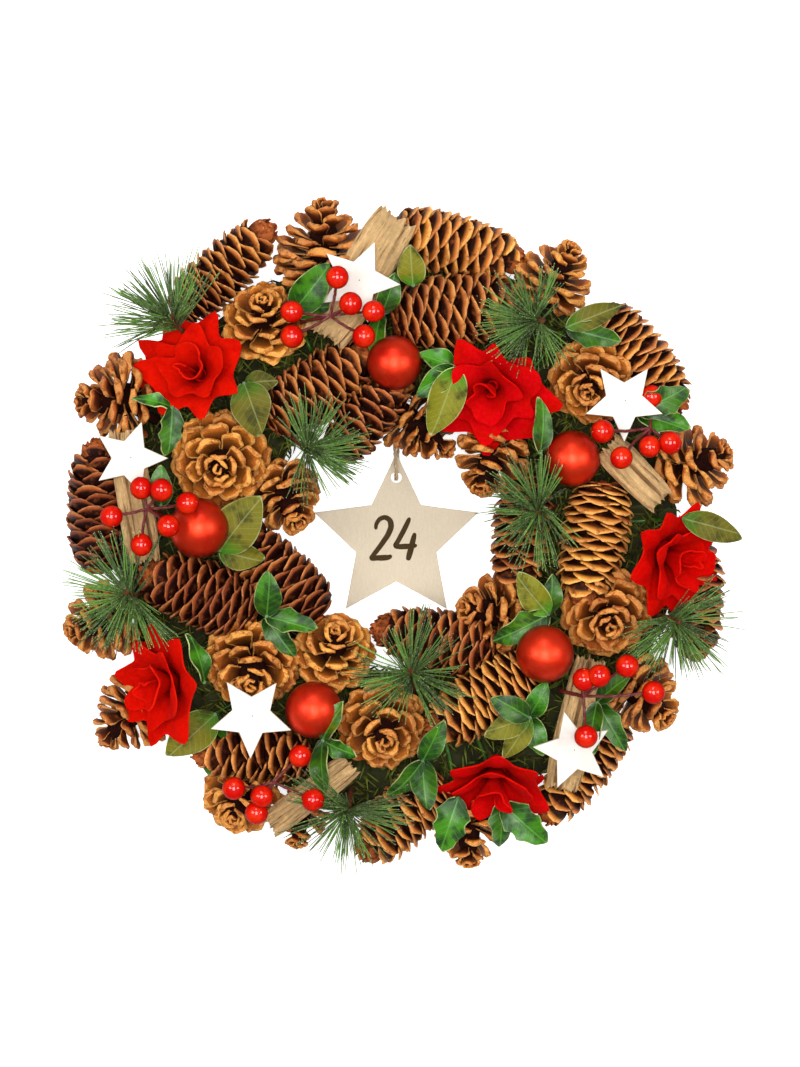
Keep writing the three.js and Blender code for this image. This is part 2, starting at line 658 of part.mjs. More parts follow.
function rose({ x, y, z, heading, tilt, radius }, index) {
  const seat = standing([x, y, z], heading, tilt, 25 * index);
  const footHeight = z - RING_HEIGHT + 6;
  const foot = (grow) =>
    solidOf(
      new THREE.CylinderGeometry(6 + grow, 4.5 + grow, footHeight, 6)
        .rotateX(Math.PI / 2)
        .translate(x, y, RING_HEIGHT - 3 + footHeight / 2),
    );
  const layers = PETAL_LAYERS.map((layer, place) =>
    placed(petalLayer(radius, layer).translate(0, 0, place * 1.5), seat));
  const bud = placed(
    new THREE.ConeGeometry(5, radius * 0.6, 5, 1).rotateX(Math.PI / 2).translate(0, 0, radius * 0.3), seat,
  );
  return {
    solid: join([bud, foot(0), ...layers]),
    clear: placed(roseEnvelope(radius, 1.2), seat).add(foot(GAP + 0.8)),
  };
}

// Driftwood: a split, uneven billet

function driftwood({ x, y, z, heading, length, width, thickness }, index) {
  const build = (grow) => {
    const sides = 6;
    const stations = 5;
    const points = [];
    const triangles = [];
    for (let station = 0; station < stations; station += 1) {
      const along = (station / (stations - 1) - 0.5) * length;
      const taper = 1 - 0.16 * (1 + draw(index * 17 + station));
      for (let side = 0; side < sides; side += 1) {
        const angle = ((side + 0.5) * 2 * Math.PI) / sides;
        const rough = taper * (1 + 0.08 * draw(index * 101 + station * 7 + side));
        const end = station === 0 || station === stations - 1 ? 3 * draw(index * 53 + side) : 0;
        points.push([
          along + end + Math.sign(along) * grow * 2,
          (width / 2) * rough * Math.cos(angle) * 1.12 + Math.sign(Math.cos(angle)) * grow,
          (thickness / 2) * rough * Math.sin(angle) * 1.12
            + Math.sign(Math.round(Math.sin(angle) * 2)) * grow,
        ]);
      }
    }
    for (let station = 0; station < stations - 1; station += 1) {
      for (let side = 0; side < sides; side += 1) {
        const a = station * sides + side;
        const b = station * sides + ((side + 1) % sides);
        triangles.push([a, b, a + sides], [b, b + sides, a + sides]);
      }
    }
    for (let side = 1; side < sides - 1; side += 1) {
      const last = (stations - 1) * sides;
      triangles.push([0, side + 1, side], [last, last + side, last + side + 1]);
    }
    return solidOf(
      geometryFrom(points, triangles).rotateZ(toRadians(heading)).translate(x, y, z),
    );
  };
  return { solid: build(0), clear: build(GAP + 0.15) };
}

// Leaves

// A blade whose edges lie higher than its rib and whose tip droops, thickest along the rib.
function leafGeometry(length, width, thickness, grow) {
  const edge = [[0.26, 0.86], [0.68, 0.84]];
  const half = width / 2 + grow;
  const points = [
    [0, 0, 0], [length + grow * 3, 0, -0.06 * length], [0.5 * length, 0, 0.03 * length + thickness],
    [0.5 * length, 0, 0.03 * length - thickness],
  ];
  for (const side of [1, -1]) {
    for (const [t, share] of edge) points.push([t * length, side * share * half, 0.08 * length]);
  }
  const rim = [0, 6, 7, 1, 5, 4];
  const triangles = rim.flatMap((corner, place) => {
    const next = rim[(place + 1) % rim.length];
    return [[2, corner, next], [3, next, corner]];
  });
  return geometryFrom(points, triangles);
}

function bladeAt(top, [heading, tilt, length, width], thickness, grow) {
  const geometry = leafGeometry(length, width, thickness, grow);
  return solidOf(
    geometry
      .rotateY(-toRadians(tilt))
      .rotateZ(toRadians(heading))
      .translate(...top),
  );
}

function leafSpray({ arc, shoots }) {
  const track = RING_HEIGHT - STEM_WIRE - 1.2;
  const onTrack = (angle) => [
    STEM_TRACK * Math.cos(toRadians(angle)), STEM_TRACK * Math.sin(toRadians(angle)), track,
  ];
  const stemPoints = [];
  for (let step = 0; step <= STEM_STEPS; step += 1) {
    stemPoints.push(onTrack(arc[0] + ((arc[1] - arc[0]) * step) / STEM_STEPS));
  }
  const wires = (radius) =>
    shoots.flatMap(({ top }) => {
      const angle = THREE.MathUtils.radToDeg(Math.atan2(top[1], top[0]));
      const turns = [0, 360, -360].map((turn) => angle + turn);
      const middle = (arc[0] + arc[1]) / 2;
      const nearest = turns.reduce((a, b) => (Math.abs(a - middle) < Math.abs(b - middle) ? a : b));
      const start = onTrack(THREE.MathUtils.clamp(nearest, arc[0] + 1, arc[1] - 1));
      const overRing = RING_HEIGHT + STEM_WIRE + GAP + 0.3;
      const onTop = [start[0], start[1], overRing];
      const under = onRingTop(top[0], top[1], overRing);
      const sideways = Math.hypot(under[0] - onTop[0], under[1] - onTop[1]) > 4;
      return [solidOf(wire(sideways ? [start, onTop, under, top] : [start, onTop, top], radius))];
    });
  // The leaves of a shoot leave it one below the other.
  const blades = (thickness, grow) =>
    shoots.flatMap(({ top, leaves }) => {
      const under = onRingTop(top[0], top[1], RING_HEIGHT);
      const length = Math.hypot(top[0] - under[0], top[1] - under[1], top[2] - under[2]);
      return leaves.map((leaf, i) => {
        const down = (1 + i * LEAF_STEP) / length;
        const root = top.map((value, axis) => value + (under[axis] - value) * down);
        return bladeAt(root, leaf, thickness, grow);
      });
    });
  return {
    stems: join([solidOf(wire(stemPoints, STEM_WIRE)), ...wires(STEM_WIRE)]),
    stemsClear: join(wires(STEM_WIRE + GAP + 0.3)),
    blades: join(blades(LEAF_THICKNESS, 0)),
    bladesClear: join(blades(LEAF_THICKNESS + 2 * GAP, GAP)),
  };
}

// Needle tufts

function needleTuft({ x, y, z, heading, tilt, length, middle, half }, index) {
  const seat = standing([x, y, z], heading, tilt, 40 * index);
  const twig = (radius) => solidOf(wire([onRingTop(x, y), [x, y, z]], radius, 4));
  const core = new THREE.OctahedronGeometry(3, 0).scale(1, 1, 1.9).applyMatrix4(seat);
  const golden = 0.618;
  const needles = [];
  for (let needle = 0; needle < NEEDLES_PER_TUFT; needle += 1) {
    const turn = middle + half * (2 * ((needle * golden) % 1) - 1);
    const rise = 4 + 58 * (needle / NEEDLES_PER_TUFT) ** 2;
    const reachOut = length * (1 + 0.1 * draw(index * 71 + needle));
    needles.push(
      placed(
        new THREE.ConeGeometry(NEEDLE_WIDTH / 2, reachOut, 3, 1, false)
          .rotateX(Math.PI / 2)
          .translate(0, 0, reachOut / 2),
        new THREE.Matrix4()
          .makeTranslation(x, y, z)
          .multiply(new THREE.Matrix4().makeRotationZ(toRadians(turn)))
          .multiply(new THREE.Matrix4().makeRotationY(toRadians(90 - rise))),
      ),
    );
  }
  return {
    twig: join([twig(1.5), solidOf(core)]),
    twigClear: join([twig(1.5 + GAP + 0.4)]),
    needles: join(needles),
  };
}

// Fitting the pieces together

const fitted = [];
const apart = (a, b) =>
  [0, 1, 2].some((axis) => a.max[axis] < b.min[axis] || b.max[axis] < a.min[axis]);

// The largest body of a solid: a scrap that a neighbour cuts loose is dropped.
function largestBody(solid) {
  const bodies = solid.decompose();
  if (bodies.length < 2) return solid;
  return bodies.reduce((a, b) => (a.volume() > b.volume() ? a : b));
}

// Cuts away what lies inside the clearance of the pieces named in others.
function keepOut(solid, others) {
  let result = solid;
  for (const other of others) {
    if (apart(result.boundingBox(), other.boundingBox())) continue;
    const cut = result.subtract(other);
    if (cut.numTri() > 0) result = cut;
  }
  return result;
}

const entries = (table, make) =>
  Object.entries(table).map(([name, row], index) => ({ name, ...make(row, index) }));

const ring = { solid: baseRing(), clear: baseRingEnvelope() };
const star = numberStar();
const twine = twineLoop();
const stars = entries(WHITE_STARS, whiteStar);
const baubles = entries(BAUBLES, bauble);
const berrySprays = entries(BERRY_SPRAYS, berrySpray);
const roses = entries(ROSES, rose);
const billets = entries(DRIFTWOOD, driftwood);
const coneGroups = entries(CONES, coneGroup);
const leafSprays = entries(LEAF_SPRAYS, leafSpray);
const tufts = entries(NEEDLE_TUFTS, needleTuft);

// Wires go through whatever stands over them, so everything else makes way for them.
const wireClear = [...leafSprays.map((spray) => spray.stemsClear), ...tufts.map((tuft) => tuft.twigClear)];
const settled = [ring.clear];

function settle(kind, pieces, makeWayFor) {
  for (const piece of pieces) {
    const solid = largestBody(keepOut(piece.solid, [...settled, ...makeWayFor]));
    fitted.push({ name: piece.name, kind, solid });
    settled.push(piece.clear);
  }
}

fitted.push({ name: "base_ring", kind: "ring", solid: ring.solid });
settle("berry", berrySprays, []);
settle("whiteStar", stars, wireClear);
settle("bauble", baubles, []);
settle("rose", roses, wireClear);
settle("wood", billets, wireClear);
settle("cone", coneGroups, wireClear);
for (const spray of leafSprays) {
  const others = tufts.map((tuft) => tuft.twigClear);
  const withoutRing = settled.slice(1);
  const blades = keepOut(spray.blades, [ring.clear, ...withoutRing, ...others]);
  fitted.push({ name: spray.name, kind: "leaf", solid: largestBody(spray.stems.add(blades)) });
}
for (const spray of leafSprays) settled.push(spray.bladesClear);
for (const tuft of tufts) {
  const needles = keepOut(tuft.needles, settled);
  const twig = tuft.twig.subtract(ring.clear);
  fitted.push({ name: tuft.name, kind: "needle", solid: largestBody(twig.add(needles)) });
}
fitted.push({ name: "number_star", kind: "plainWood", solid: star });
fitted.push({ name: "twine_loop", kind: "twine", solid: twine });

// Materials and the scene graph

const matte = (color, roughness) =>
  new THREE.MeshStandardMaterial({ color, roughness, metalness: 0 });
const FINISHES = {
  ring: matte(0x2c3a22, 0.95),
  cone: matte(0x8a5a33, 0.8),
  wood: matte(0xc9a876, 0.85),
  whiteStar: matte(0xf4f1ea, 0.7),
  bauble: matte(0xb3160f, 0.4),
  berry: matte(0xc8150c, 0.2),
  rose: matte(0xc01208, 0.9),
  leaf: matte(0x2f6b2a, 0.55),
  needle: matte(0x2f6f45, 0.7),
  plainWood: matte(0xd9c7a4, 0.8),
  twine: matte(0xb59a6a, 0.9),
};

const wreath = new THREE.Group();
for (const { name, kind, solid } of fitted) {
  const mesh = new THREE.Mesh(geometryOf(solid), FINISHES[kind]);
  mesh.name = name;
  wreath.add(mesh);
}

export default wreath;
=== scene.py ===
"""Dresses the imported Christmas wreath: cones, roses, baubles, berries, stars, driftwood, leaves and needles.

Every length in the tables and the makers is in millimetres, in the wreath's own frame: +Z out of its face and
+Y towards its top. A finished piece is written to its mesh in metres.
"""

import math
import random

import bpy
from bpy.props import FloatProperty, FloatVectorProperty, IntProperty, PointerProperty
from bpy.types import Operator, Panel, PropertyGroup
from mathutils import Matrix, Vector, noise


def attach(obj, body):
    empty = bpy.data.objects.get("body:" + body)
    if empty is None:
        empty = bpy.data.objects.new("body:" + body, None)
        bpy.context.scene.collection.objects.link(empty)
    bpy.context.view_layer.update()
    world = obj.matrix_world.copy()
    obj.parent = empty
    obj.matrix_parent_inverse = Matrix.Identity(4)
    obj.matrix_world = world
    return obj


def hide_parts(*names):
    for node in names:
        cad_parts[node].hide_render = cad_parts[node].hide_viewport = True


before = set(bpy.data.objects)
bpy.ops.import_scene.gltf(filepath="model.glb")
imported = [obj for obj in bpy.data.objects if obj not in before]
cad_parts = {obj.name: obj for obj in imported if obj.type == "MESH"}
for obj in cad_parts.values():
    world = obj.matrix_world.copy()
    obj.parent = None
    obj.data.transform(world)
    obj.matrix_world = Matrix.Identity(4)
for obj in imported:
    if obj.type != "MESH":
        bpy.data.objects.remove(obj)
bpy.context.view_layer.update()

bl_info = {
    "name": "Christmas Wreath Maker",
    "version": (1, 0, 0),
    "blender": (4, 5, 0),
    "location": "View3D > Sidebar > Wreath",
    "description": "Builds a Christmas wreath piece by piece over its solid model",
    "category": "Add Mesh",
}

# Where everything lies, as in the solid model

MM = 0.001
UP = Vector((0, 0, 1))
GOLDEN_ANGLE = 137.508

RING_INNER = 75
RING_OUTER = 152
RING_MIDDLE = (RING_INNER + RING_OUTER) / 2
RING_HEIGHT = 22
RING_BEVEL = 8
STEM_TRACK = 110
STEM_WIRE = 1.2
LEAF_STEP = 3
STAR_THICKNESS = 3
HOLE_SIDES = 32
SMALL_STAR_NOTCH = 0.47
NUMBER_STAR = {"x": -1, "y": -3, "radius": 46.7, "notch": 0.49, "hole": 3, "hole_from_tip": 13, "lift": 3}
TWINE_ROUTE_TOP = RING_INNER - 0.35
TWINE_BACK = 1.25

# A cone's radius along its axis, from stalk to tip, as shares of its length and half width
SPRUCE_OUTLINE = (
    (0, 0.5), (0.1, 0.82), (0.25, 0.97), (0.4, 1), (0.6, 0.96), (0.8, 0.86), (0.92, 0.68), (1, 0.36),
)
PINE_OUTLINE = ((0, 0.55), (0.2, 0.95), (0.35, 1), (0.55, 0.88), (0.75, 0.64), (0.9, 0.4), (1, 0.14))

# How far the scales stand out from the axis along a cone, as shares of its own opening for spruce and in
# degrees for pine
SPRUCE_OPENING = ((0, 1.9), (0.12, 1.35), (0.3, 1.1), (0.7, 1), (0.86, 0.55), (1, -0.5))
PINE_OPENING = ((0, 104), (0.15, 88), (0.4, 70), (0.7, 50), (0.9, 32), (1, 14))

# The rings of scales that close a spruce cone's tip: places along its axis and scales in each
SPRUCE_TIP_RINGS = ((1.0, 5), (1.025, 4), (1.05, 3))

# The small scales that close a pine cone's tip: places along its axis and shares of its half width
PINE_TIP_SCALES = (
    (0.9, 0.36), (0.92, 0.31), (0.94, 0.27), (0.96, 0.2), (0.975, 0.15), (0.99, 0.1), (1, 0.05),
)

# The woody stub at a spruce cone's base, as places along its axis and shares of its width, and the core of
# a pine cone, as shares of its width and of its length from the middle
BASE_STUB = ((-0.005, 0), (-0.01, 0.06), (0.005, 0.075), (0.03, 0.17), (0.07, 0.25), (0.12, 0.2), (0.12, 0))
PINE_HEART = ((0, -0.5), (0.12, -0.48), (0.16, -0.2), (0.13, 0.15), (0.06, 0.36), (0, 0.44))

# A scale from root to end: place along it and share of its width, for pine also of its thickness. Then the
# places across it, from one side to the other.
SPRUCE_STATIONS = ((0.2, 0.55), (0.46, 0.82), (0.68, 0.98), (0.86, 1.02), (0.96, 0.97), (1.0, 0.88))
SPRUCE_COLUMNS = (-1.0, -0.72, -0.36, 0.0, 0.36, 0.72, 1.0)
PINE_STATIONS = (
    (0.1, 0.34, 0.28), (0.36, 0.5, 0.3), (0.6, 0.74, 0.36), (0.78, 0.98, 0.62), (0.88, 1.0, 1.0),
    (0.96, 0.88, 0.96), (1.0, 0.66, 0.6),
)
PINE_COLUMNS = (-1.0, -0.74, -0.4, 0.0, 0.4, 0.74, 1.0)

# The finishes of a cone and of a leaf in the order of their materials, and the second finish of the baubles,
# berries, needles, stars and ring
SCALE, SCALE_BACK, SCALE_FACE, HEART, STUB = range(5)
FACE, UNDERSIDE = range(2)
METAL = STALK = TWIG = FIGURES = MOSS = 1

# Each cone: kind, middle, heading of its tip, how far the tip stands up, length and width, how far it has
# opened (in degrees for spruce, against the usual for pine) and how light it is
S, P = "spruce", "pine"
CONES = {
    "cones_upper_left": [
        (S, -94, 141, 38, 43, 5, 69, 33, 42, 0.62),
        (P, -40, 155, 37, 90, 15, 52, 57, 1.15, 0.45),
        (P, -72, 116, 43, 90, 62, 40, 48, 1, 0.8),
    ],
    "cones_top": [
        (S, 33, 155, 29, -15, 0, 69, 35, 25, 0.9),
        (S, 33, 120, 41, 8, 5, 67, 41, 30, 0.55),
        (P, 86, 140, 37, 60, 30, 40, 44, 1.1, 0.6),
    ],
    "cones_upper_right": [
        (S, 131, 94, 28, -49, 0, 67, 35, 38, 0.75),
        (P, 103, 80, 43, 250, 72, 42, 48, 1, 0.65),
    ],
    "cone_right": [(P, 161, 38, 36, 20, 25, 42, 50, 1.15, 0.5)],
    "cone_right_edge": [(S, 161, -36, 21, 270, 0, 61, 33, 36, 0.5)],
    "cones_right_inner": [
        (S, 105, -5, 41, 260, 3, 66, 39, 40, 1.0),
        (S, 66, -1, 34, 262, 0, 63, 33, 34, 0.5),
        (P, 112, -44, 44, 270, 72, 44, 51, 1, 0.55),
    ],
    "cones_lower_right": [
        (S, 100, -126, 26, 234, 0, 69, 33, 40, 0.8),
        (P, 133, -89, 40, 320, 30, 42, 46, 1.1, 0.6),
    ],
    "cones_inner_lower_right": [
        (P, 49, -42, 36, 170, 35, 40, 46, 1.1, 0.5),
        (S, 20, -57, 35, 170, 0, 65, 35, 30, 0.4),
    ],
    "cones_lower": [
        (S, 45, -89, 41, 213, 5, 65, 38, 40, 0.95),
        (P, -8, -105, 43, 280, 70, 42, 51, 1, 0.6),
    ],
    "cones_bottom": [
        (S, 2, -152, 37, 224, 5, 59, 36, 40, 0.85),
        (P, 38, -162, 31, 270, 20, 38, 42, 1.1, 0.6),
    ],
    "cones_bottom_left": [
        (S, -78, -119, 37, 178, 3, 61, 31, 32, 0.6),
        (P, -86, -145, 31, 250, 58, 36, 44, 1.05, 0.8),
        (P, -53, -155, 27, 260, 20, 32, 34, 1.05, 0.6),
    ],
    "cones_lower_left": [
        (P, -78, -72, 43, 270, 62, 44, 54, 1, 0.7),
        (P, -34, -61, 38, 80, 60, 40, 46, 1, 0.85),
    ],
    "cones_left_inner": [
        (S, -107, -32, 41, 160, 8, 63, 39, 30, 0.25),
        (S, -66, -21, 34, 135, 0, 67, 37, 31, 0.35),
    ],
    "cones_left_low_edge": [
        (P, -162, -48, 32, 200, 30, 40, 46, 1.1, 0.6),
        (P, -146, -99, 24, 225, 5, 44, 46, 1.1, 0.55),
    ],
    "cones_left": [
        (P, -154, 72, 33, 185, 15, 42, 54, 1.15, 0.45),
        (S, -162, 15, 24, 92, 0, 67, 35, 24, 0.2),
    ],
    "cones_inner_left": [
        (P, -95, 38, 43, 270, 78, 44, 56, 1, 0.75),
        (P, -60, 17, 34, 300, 35, 40, 44, 1.05, 0.5),
    ],
    "cones_inner_upper_left": [
        (S, -42, 79, 40, 34, 5, 65, 37, 30, 0.45),
        (S, -17, 62, 46, 50, 5, 51, 30, 30, 0.35),
    ],
    "cones_inner_top": [
        (P, 49, 37, 35, 250, 30, 40, 44, 1.1, 0.55),
        (P, 12, 57, 29, -40, 15, 48, 40, 1.1, 0.45),
    ],
}

# Driftwood: middle, heading of its length, length, width and thickness
DRIFTWOOD = {
    "driftwood_top": (-20, 137, 52, 58, 76, 30, 11),
    "driftwood_left": (-141, 20, 46, 100, 72, 20, 9),
    "driftwood_right": (126, 32, 52, -46, 43, 20, 16),
    "driftwood_bottom": (-47, -140, 46, 37, 56, 17, 13),
    "driftwood_low_right": (95, -102, 46, 77, 72, 21, 10),
}

# Points along and round a piece of driftwood
BILLET_STATIONS = 46
BILLET_SIDES = 72

# White stars: middle of the underside, outer radius, compass angle of one point, lean and the way it leans
WHITE_STARS = {
    "star_top": (-21, 134, 60, 22.5, 67, 3, 200),
    "star_left": (-143, 40, 51, 20.5, 72, 3, 100),
    "star_right": (120, 70, 59, 21.5, -90, 2, 90),
    "star_low_left": (-78, -97, 59, 22.5, -91, 4, 270),
    "star_low_right": (93, -115, 60, 21.5, 103, 6, 250),
}

# The pin mark on a white star, as radius and height over its face
STAR_PIN = ((0, -0.5), (0.32, -0.5), (0.32, 0.03), (0, 0.05))

# Baubles: middle and radius
BAUBLES = {
    "bauble_top": (-2, 91, 54, 14.7),
    "bauble_right": (93, 40, 52, 15),
    "bauble_left": (-106, 3, 56, 16),
    "bauble_low_right": (78, -64, 60, 15.4),
    "bauble_low_left": (-45, -94, 54, 15.2),
}

# A bauble's cap, as radius and height over the bauble's lowest point
BAUBLE_CAP = ((0, -1.6), (1.3, -1.6), (3.0, -1.2), (3.4, 0.6), (3.4, 1.4), (0, 1.4))

# Rings of points from pole to pole of a bauble and of a berry
BAUBLE_RINGS = 40
BERRY_RINGS = 22

# Roses: foot, heading and rise of the way the bloom faces, and its radius
ROSES = {
    "rose_upper_left": (-106, 84, 38, 150, 66, 31),
    "rose_upper_right": (53, 80, 38, 240, 70, 31),
    "rose_right": (140, -8, 38, 345, 44, 31),
    "rose_left": (-118, -80, 42, 190, 46, 32),
    "rose_bottom": (53, -124, 38, 268, 42, 31),
}

# How often a rose's strip of felt is wound, and its points across and along
FELT_TURNS = 3.3
FELT_ROWS = 12
FELT_COLUMNS = 230

# Berry sprays: foot on the ring, fork, and each berry
BERRY_SPRAYS = {
    "berries_top": (
        (-50, 113),
        (-36, 115, 70),
        ((-32, 135, 76), (-25, 121, 79), (-13, 117, 77), (-18, 104, 76), (-56, 117, 75), (-56, 104, 74)),
    ),
    "berries_left": (
        (-125, 9),
        (-133, 13, 66),
        ((-136, 24, 68), (-125, 23, 72), (-152, 9, 64), (-111, 16, 76), (-121, 4, 78), (-136, -6, 66)),
    ),
    "berries_right": (
        (132, 50),
        (134, 56, 60),
        ((135, 73, 56), (108, 54, 70), (118, 40, 71), (133, 46, 70), (144, 48, 68)),
    ),
    "berries_bottom": (
        (-62, -130),
        (-66, -132, 62),
        ((-52, -118, 64), (-87, -135, 66), (-72, -139, 70), (-75, -148, 66), (-45, -141, 68)),
    ),
    "berries_low_right": (
        (88, -84),
        (98, -86, 70),
        ((121, -70, 72), (98, -77, 74), (106, -75, 77), (135, -84, 70), (99, -107, 76)),
    ),
}

# Needle tufts: crown, the way the twig points, needle length, and the middle and half width of the fan of
# headings that the needles fill
NEEDLE_TUFTS = {
    "needles_upper_left": (-119, 112, 56, 120, 55, 34, 128, 75),
    "needles_inner_left": (-48, 44, 56, 110, 60, 29, 5, 125),
    "needles_upper_right": (73, 113, 57, 5, 50, 27, 175, 135),
    "needles_right": (75, 13, 58, 250, 55, 30, 190, 135),
    "needles_left": (-142, -33, 56, 150, 60, 32, 190, 125),
    "needles_low": (7, -75, 58, 90, 65, 31, 95, 160),
    "needles_bottom": (-27, -147, 56, 200, 60, 31, 255, 125),
    "needles_low_edge": (147, -46, 50, 320, 50, 31, 300, 115),
}

# Needles in a bundle, and the share of the bundles that stand up in the middle of the tuft
NEEDLES_IN_BUNDLE = 3
UPRIGHT_BUNDLES = 0.24

# A needle's places from root to tip with its share of thickness there, and the radii at its twig's end
NEEDLE_STEPS = ((0, 1), (0.25, 1), (0.5, 0.95), (0.75, 0.85), (0.92, 0.7), (1, 0.4))
TWIG_END = [1.7, 1.9, 1.7, 1.0]

# Leaf sprays: the arc of the stem round the ring, then each shoot's top with the heading, rise, length,
# width, roll and number of side points of its leaves. A leaf rolled past 90 shows its underside.
LEAF_SPRAYS = {
    "leaves_upper_left": (
        (88, 158),
        (
            ((-56, 118, 58), ((50, 16, 32, 19, 10, 0), (8, 10, 22, 12, -8, 0))),
            ((-9, 117, 54), ((70, 20, 24, 13, 18, 0), (262, 15, 25, 12, 30, 0))),
            ((-82, 80, 54), ((290, 12, 29, 22, 180, 0), (5, 5, 18, 12, 170, 0))),
            ((-120, 67, 61), ((266, 0, 26, 14, -20, 3), (165, 8, 22, 9, 35, 2))),
        ),
    ),
    "leaves_left": (
        (160, 226),
        (
            ((-126, 15, 57), ((88, 20, 22, 13, 0, 0),)),
            ((-95, -9, 54), ((52, 10, 36, 25, 176, 0), (345, 4, 24, 16, 188, 0))),
            ((-70, -44, 57), ((85, 25, 27, 15, 10, 0), (345, 8, 28, 14, -12, 2), (305, 8, 26, 14, 6, 2))),
        ),
    ),
    "leaves_lower_left": (
        (228, 268),
        (
            ((-103, -79, 60), ((108, 8, 28, 12, 48, 0),)),
            ((-98, -97, 42), ((222, 8, 34, 21, 180, 0), (266, -4, 34, 18, 10, 0))),
            (
                (-40, -110, 61),
                ((60, 12, 24, 11, -30, 0), (335, 6, 20, 11, 22, 2), (272, 6, 30, 13, 40, 0)),
            ),
        ),
    ),
    "leaves_bottom": (
        (270, 324),
        (
            (
                (13, -121, 57),
                ((65, 20, 26, 13, 12, 0), (230, 10, 26, 13, -30, 0), (275, 12, 27, 15, 8, 0)),
            ),
            ((32, -141, 54), ((252, 2, 30, 20, 0, 3),)),
            ((56, -145, 48), ((318, -4, 32, 20, 8, 3), (270, -8, 26, 15, -8, 2))),
            (
                (70, -98, 57),
                (
                    (150, 15, 24, 14, 0, 0), (198, 10, 26, 14, 180, 0), (240, 6, 26, 13, 170, 0),
                    (60, 20, 22, 12, 0, 0), (285, 8, 22, 13, 0, 0),
                ),
            ),
            ((106, -90, 57), ((262, 10, 28, 13, 35, 0), (40, 20, 26, 11, -20, 0), (300, 8, 30, 14, 0, 2))),
        ),
    ),
    "leaves_right": (
        (-34, 14),
        (
            (
                (80, -43, 56),
                ((130, 12, 28, 16, 170, 0), (208, 8, 32, 18, -10, 2), (82, 20, 22, 12, 20, 0)),
            ),
            ((152, 8, 56), ((345, -4, 34, 15, 180, 0),)),
        ),
    ),
    "leaves_upper_right": (
        (16, 86),
        (
            ((128, 64, 57), ((28, 2, 30, 18, 5, 3), (342, 4, 29, 16, -10, 2))),
            ((90, 110, 55), ((22, 6, 31, 13, 180, 0), (345, 0, 30, 15, 6, 2))),
            ((75, 43, 61), ((84, 8, 29, 12, 28, 0),)),
            ((31, 88, 58), ((250, 0, 38, 20, 172, 0), (212, 8, 26, 14, 0, 0), (160, 14, 22, 13, 20, 0))),
            ((8, 132, 58), ((95, 25, 22, 15, 175, 0),)),
        ),
    ),
}

# Points along and across a leaf, and steps along a stem
LEAF_ROWS = 17
LEAF_COLUMNS = 11
STEM_STEPS = 24

# The figures on the plain star as brush strokes: the points of each stroke and its half width there,
# in mm from the middle of the star
FIGURE_STROKES = (
    (
        (-11.2, 5.2, 0.9), (-10.9, 8.2, 1.1), (-9.0, 11.0, 1.25), (-6.1, 11.9, 1.35), (-3.6, 10.3, 1.5),
        (-2.9, 7.2, 1.6), (-4.2, 3.2, 1.55), (-7.0, -1.2, 1.45), (-10.2, -5.6, 1.35), (-13.2, -9.6, 1.3),
        (-13.4, -10.3, 1.4), (-10.5, -10.2, 1.5), (-7.0, -10.1, 1.6), (-3.9, -9.7, 1.3), (-2.6, -8.6, 0.8),
    ),
    (
        (7.4, 12.0, 1.1), (5.6, 8.0, 1.35), (3.4, 3.6, 1.4), (0.9, -1.0, 1.35), (-0.4, -3.5, 1.35),
        (1.6, -4.0, 1.45), (5.2, -3.9, 1.55), (9.0, -3.7, 1.35), (11.4, -3.2, 0.8),
    ),
    (
        (10.2, 3.6, 1.0), (9.4, 0.6, 1.4), (8.4, -3.4, 1.6), (7.4, -7.4, 1.6), (6.6, -10.4, 1.35),
        (6.4, -11.6, 0.9),
    ),
)

# The stage, in metres: the camera, then each soft light's place, width and share of the key power
CAMERA = {"lens": 126.4, "sensor_width": 36, "clip_start": 0.05, "clip_end": 20}
CAMERA_PLACE = (0.001, 0.0, 2.05)
SOFT_LIGHTS = {
    "soft_light_left": ((-1.15, 0.12, 1.58), 0.6, 0.42),
    "soft_light_right": ((1.3, 0.06, 1.5), 0.6, 0.42),
    "soft_light_high": ((-0.1, 1.2, 1.4), 0.6, 0.25),
    "soft_light_front": ((0.0, -0.1, 2.9), 1.2, 2.1),
}
SOFT_LIGHT_SHAPE = 1.3

# The floor, in millimetres
FLOOR_HALF = 1500
FLOOR_HEIGHT = -0.4

# A strand's radius as a share of the twine's, and the lay of its yarns as a share of its own lay
TWINE_STRAND = 0.54
TWINE_YARN_LAY = 0.8

# Radii from root to tip of a fibre that stands out of the twine and of a strand of moss
STRAY_FIBRE = (0.08, 0.06, 0.03)
MOSS_STRAND = (0.75, 0.62, 0.12)


def srgb(red, green, blue):
    """A colour given as screen values from 0 to 255, as the linear values that shaders use."""
    def channel(value):
        share = value / 255
        return share / 12.92 if share <= 0.04045 else ((share + 0.055) / 1.055) ** 2.4

    return channel(red), channel(green), channel(blue)


def shaded(colour, share):
    """A colour made darker or lighter by a share of itself."""
    return tuple(min(value * share, 1) for value in colour)


def colour_property(name, description, screen):
    return FloatVectorProperty(
        name=name, description=description, default=srgb(*screen), min=0, max=1, size=3, subtype="COLOR"
    )


def length_property(name, description, default):
    """A length in metres, given in millimetres."""
    return FloatProperty(
        name=name, description=description, default=default * MM, min=0, unit="LENGTH", subtype="DISTANCE",
        precision=4,
    )


def share_property(name, description, default):
    return FloatProperty(name=name, description=description, default=default, min=0, subtype="FACTOR")


def area_property(name, description, default):
    return FloatProperty(name=name, description=description, default=default, min=30, max=240)


def count_property(name, description, default, largest):
    return IntProperty(name=name, description=description, default=default, min=0, max=largest)


# Settings that a user would change


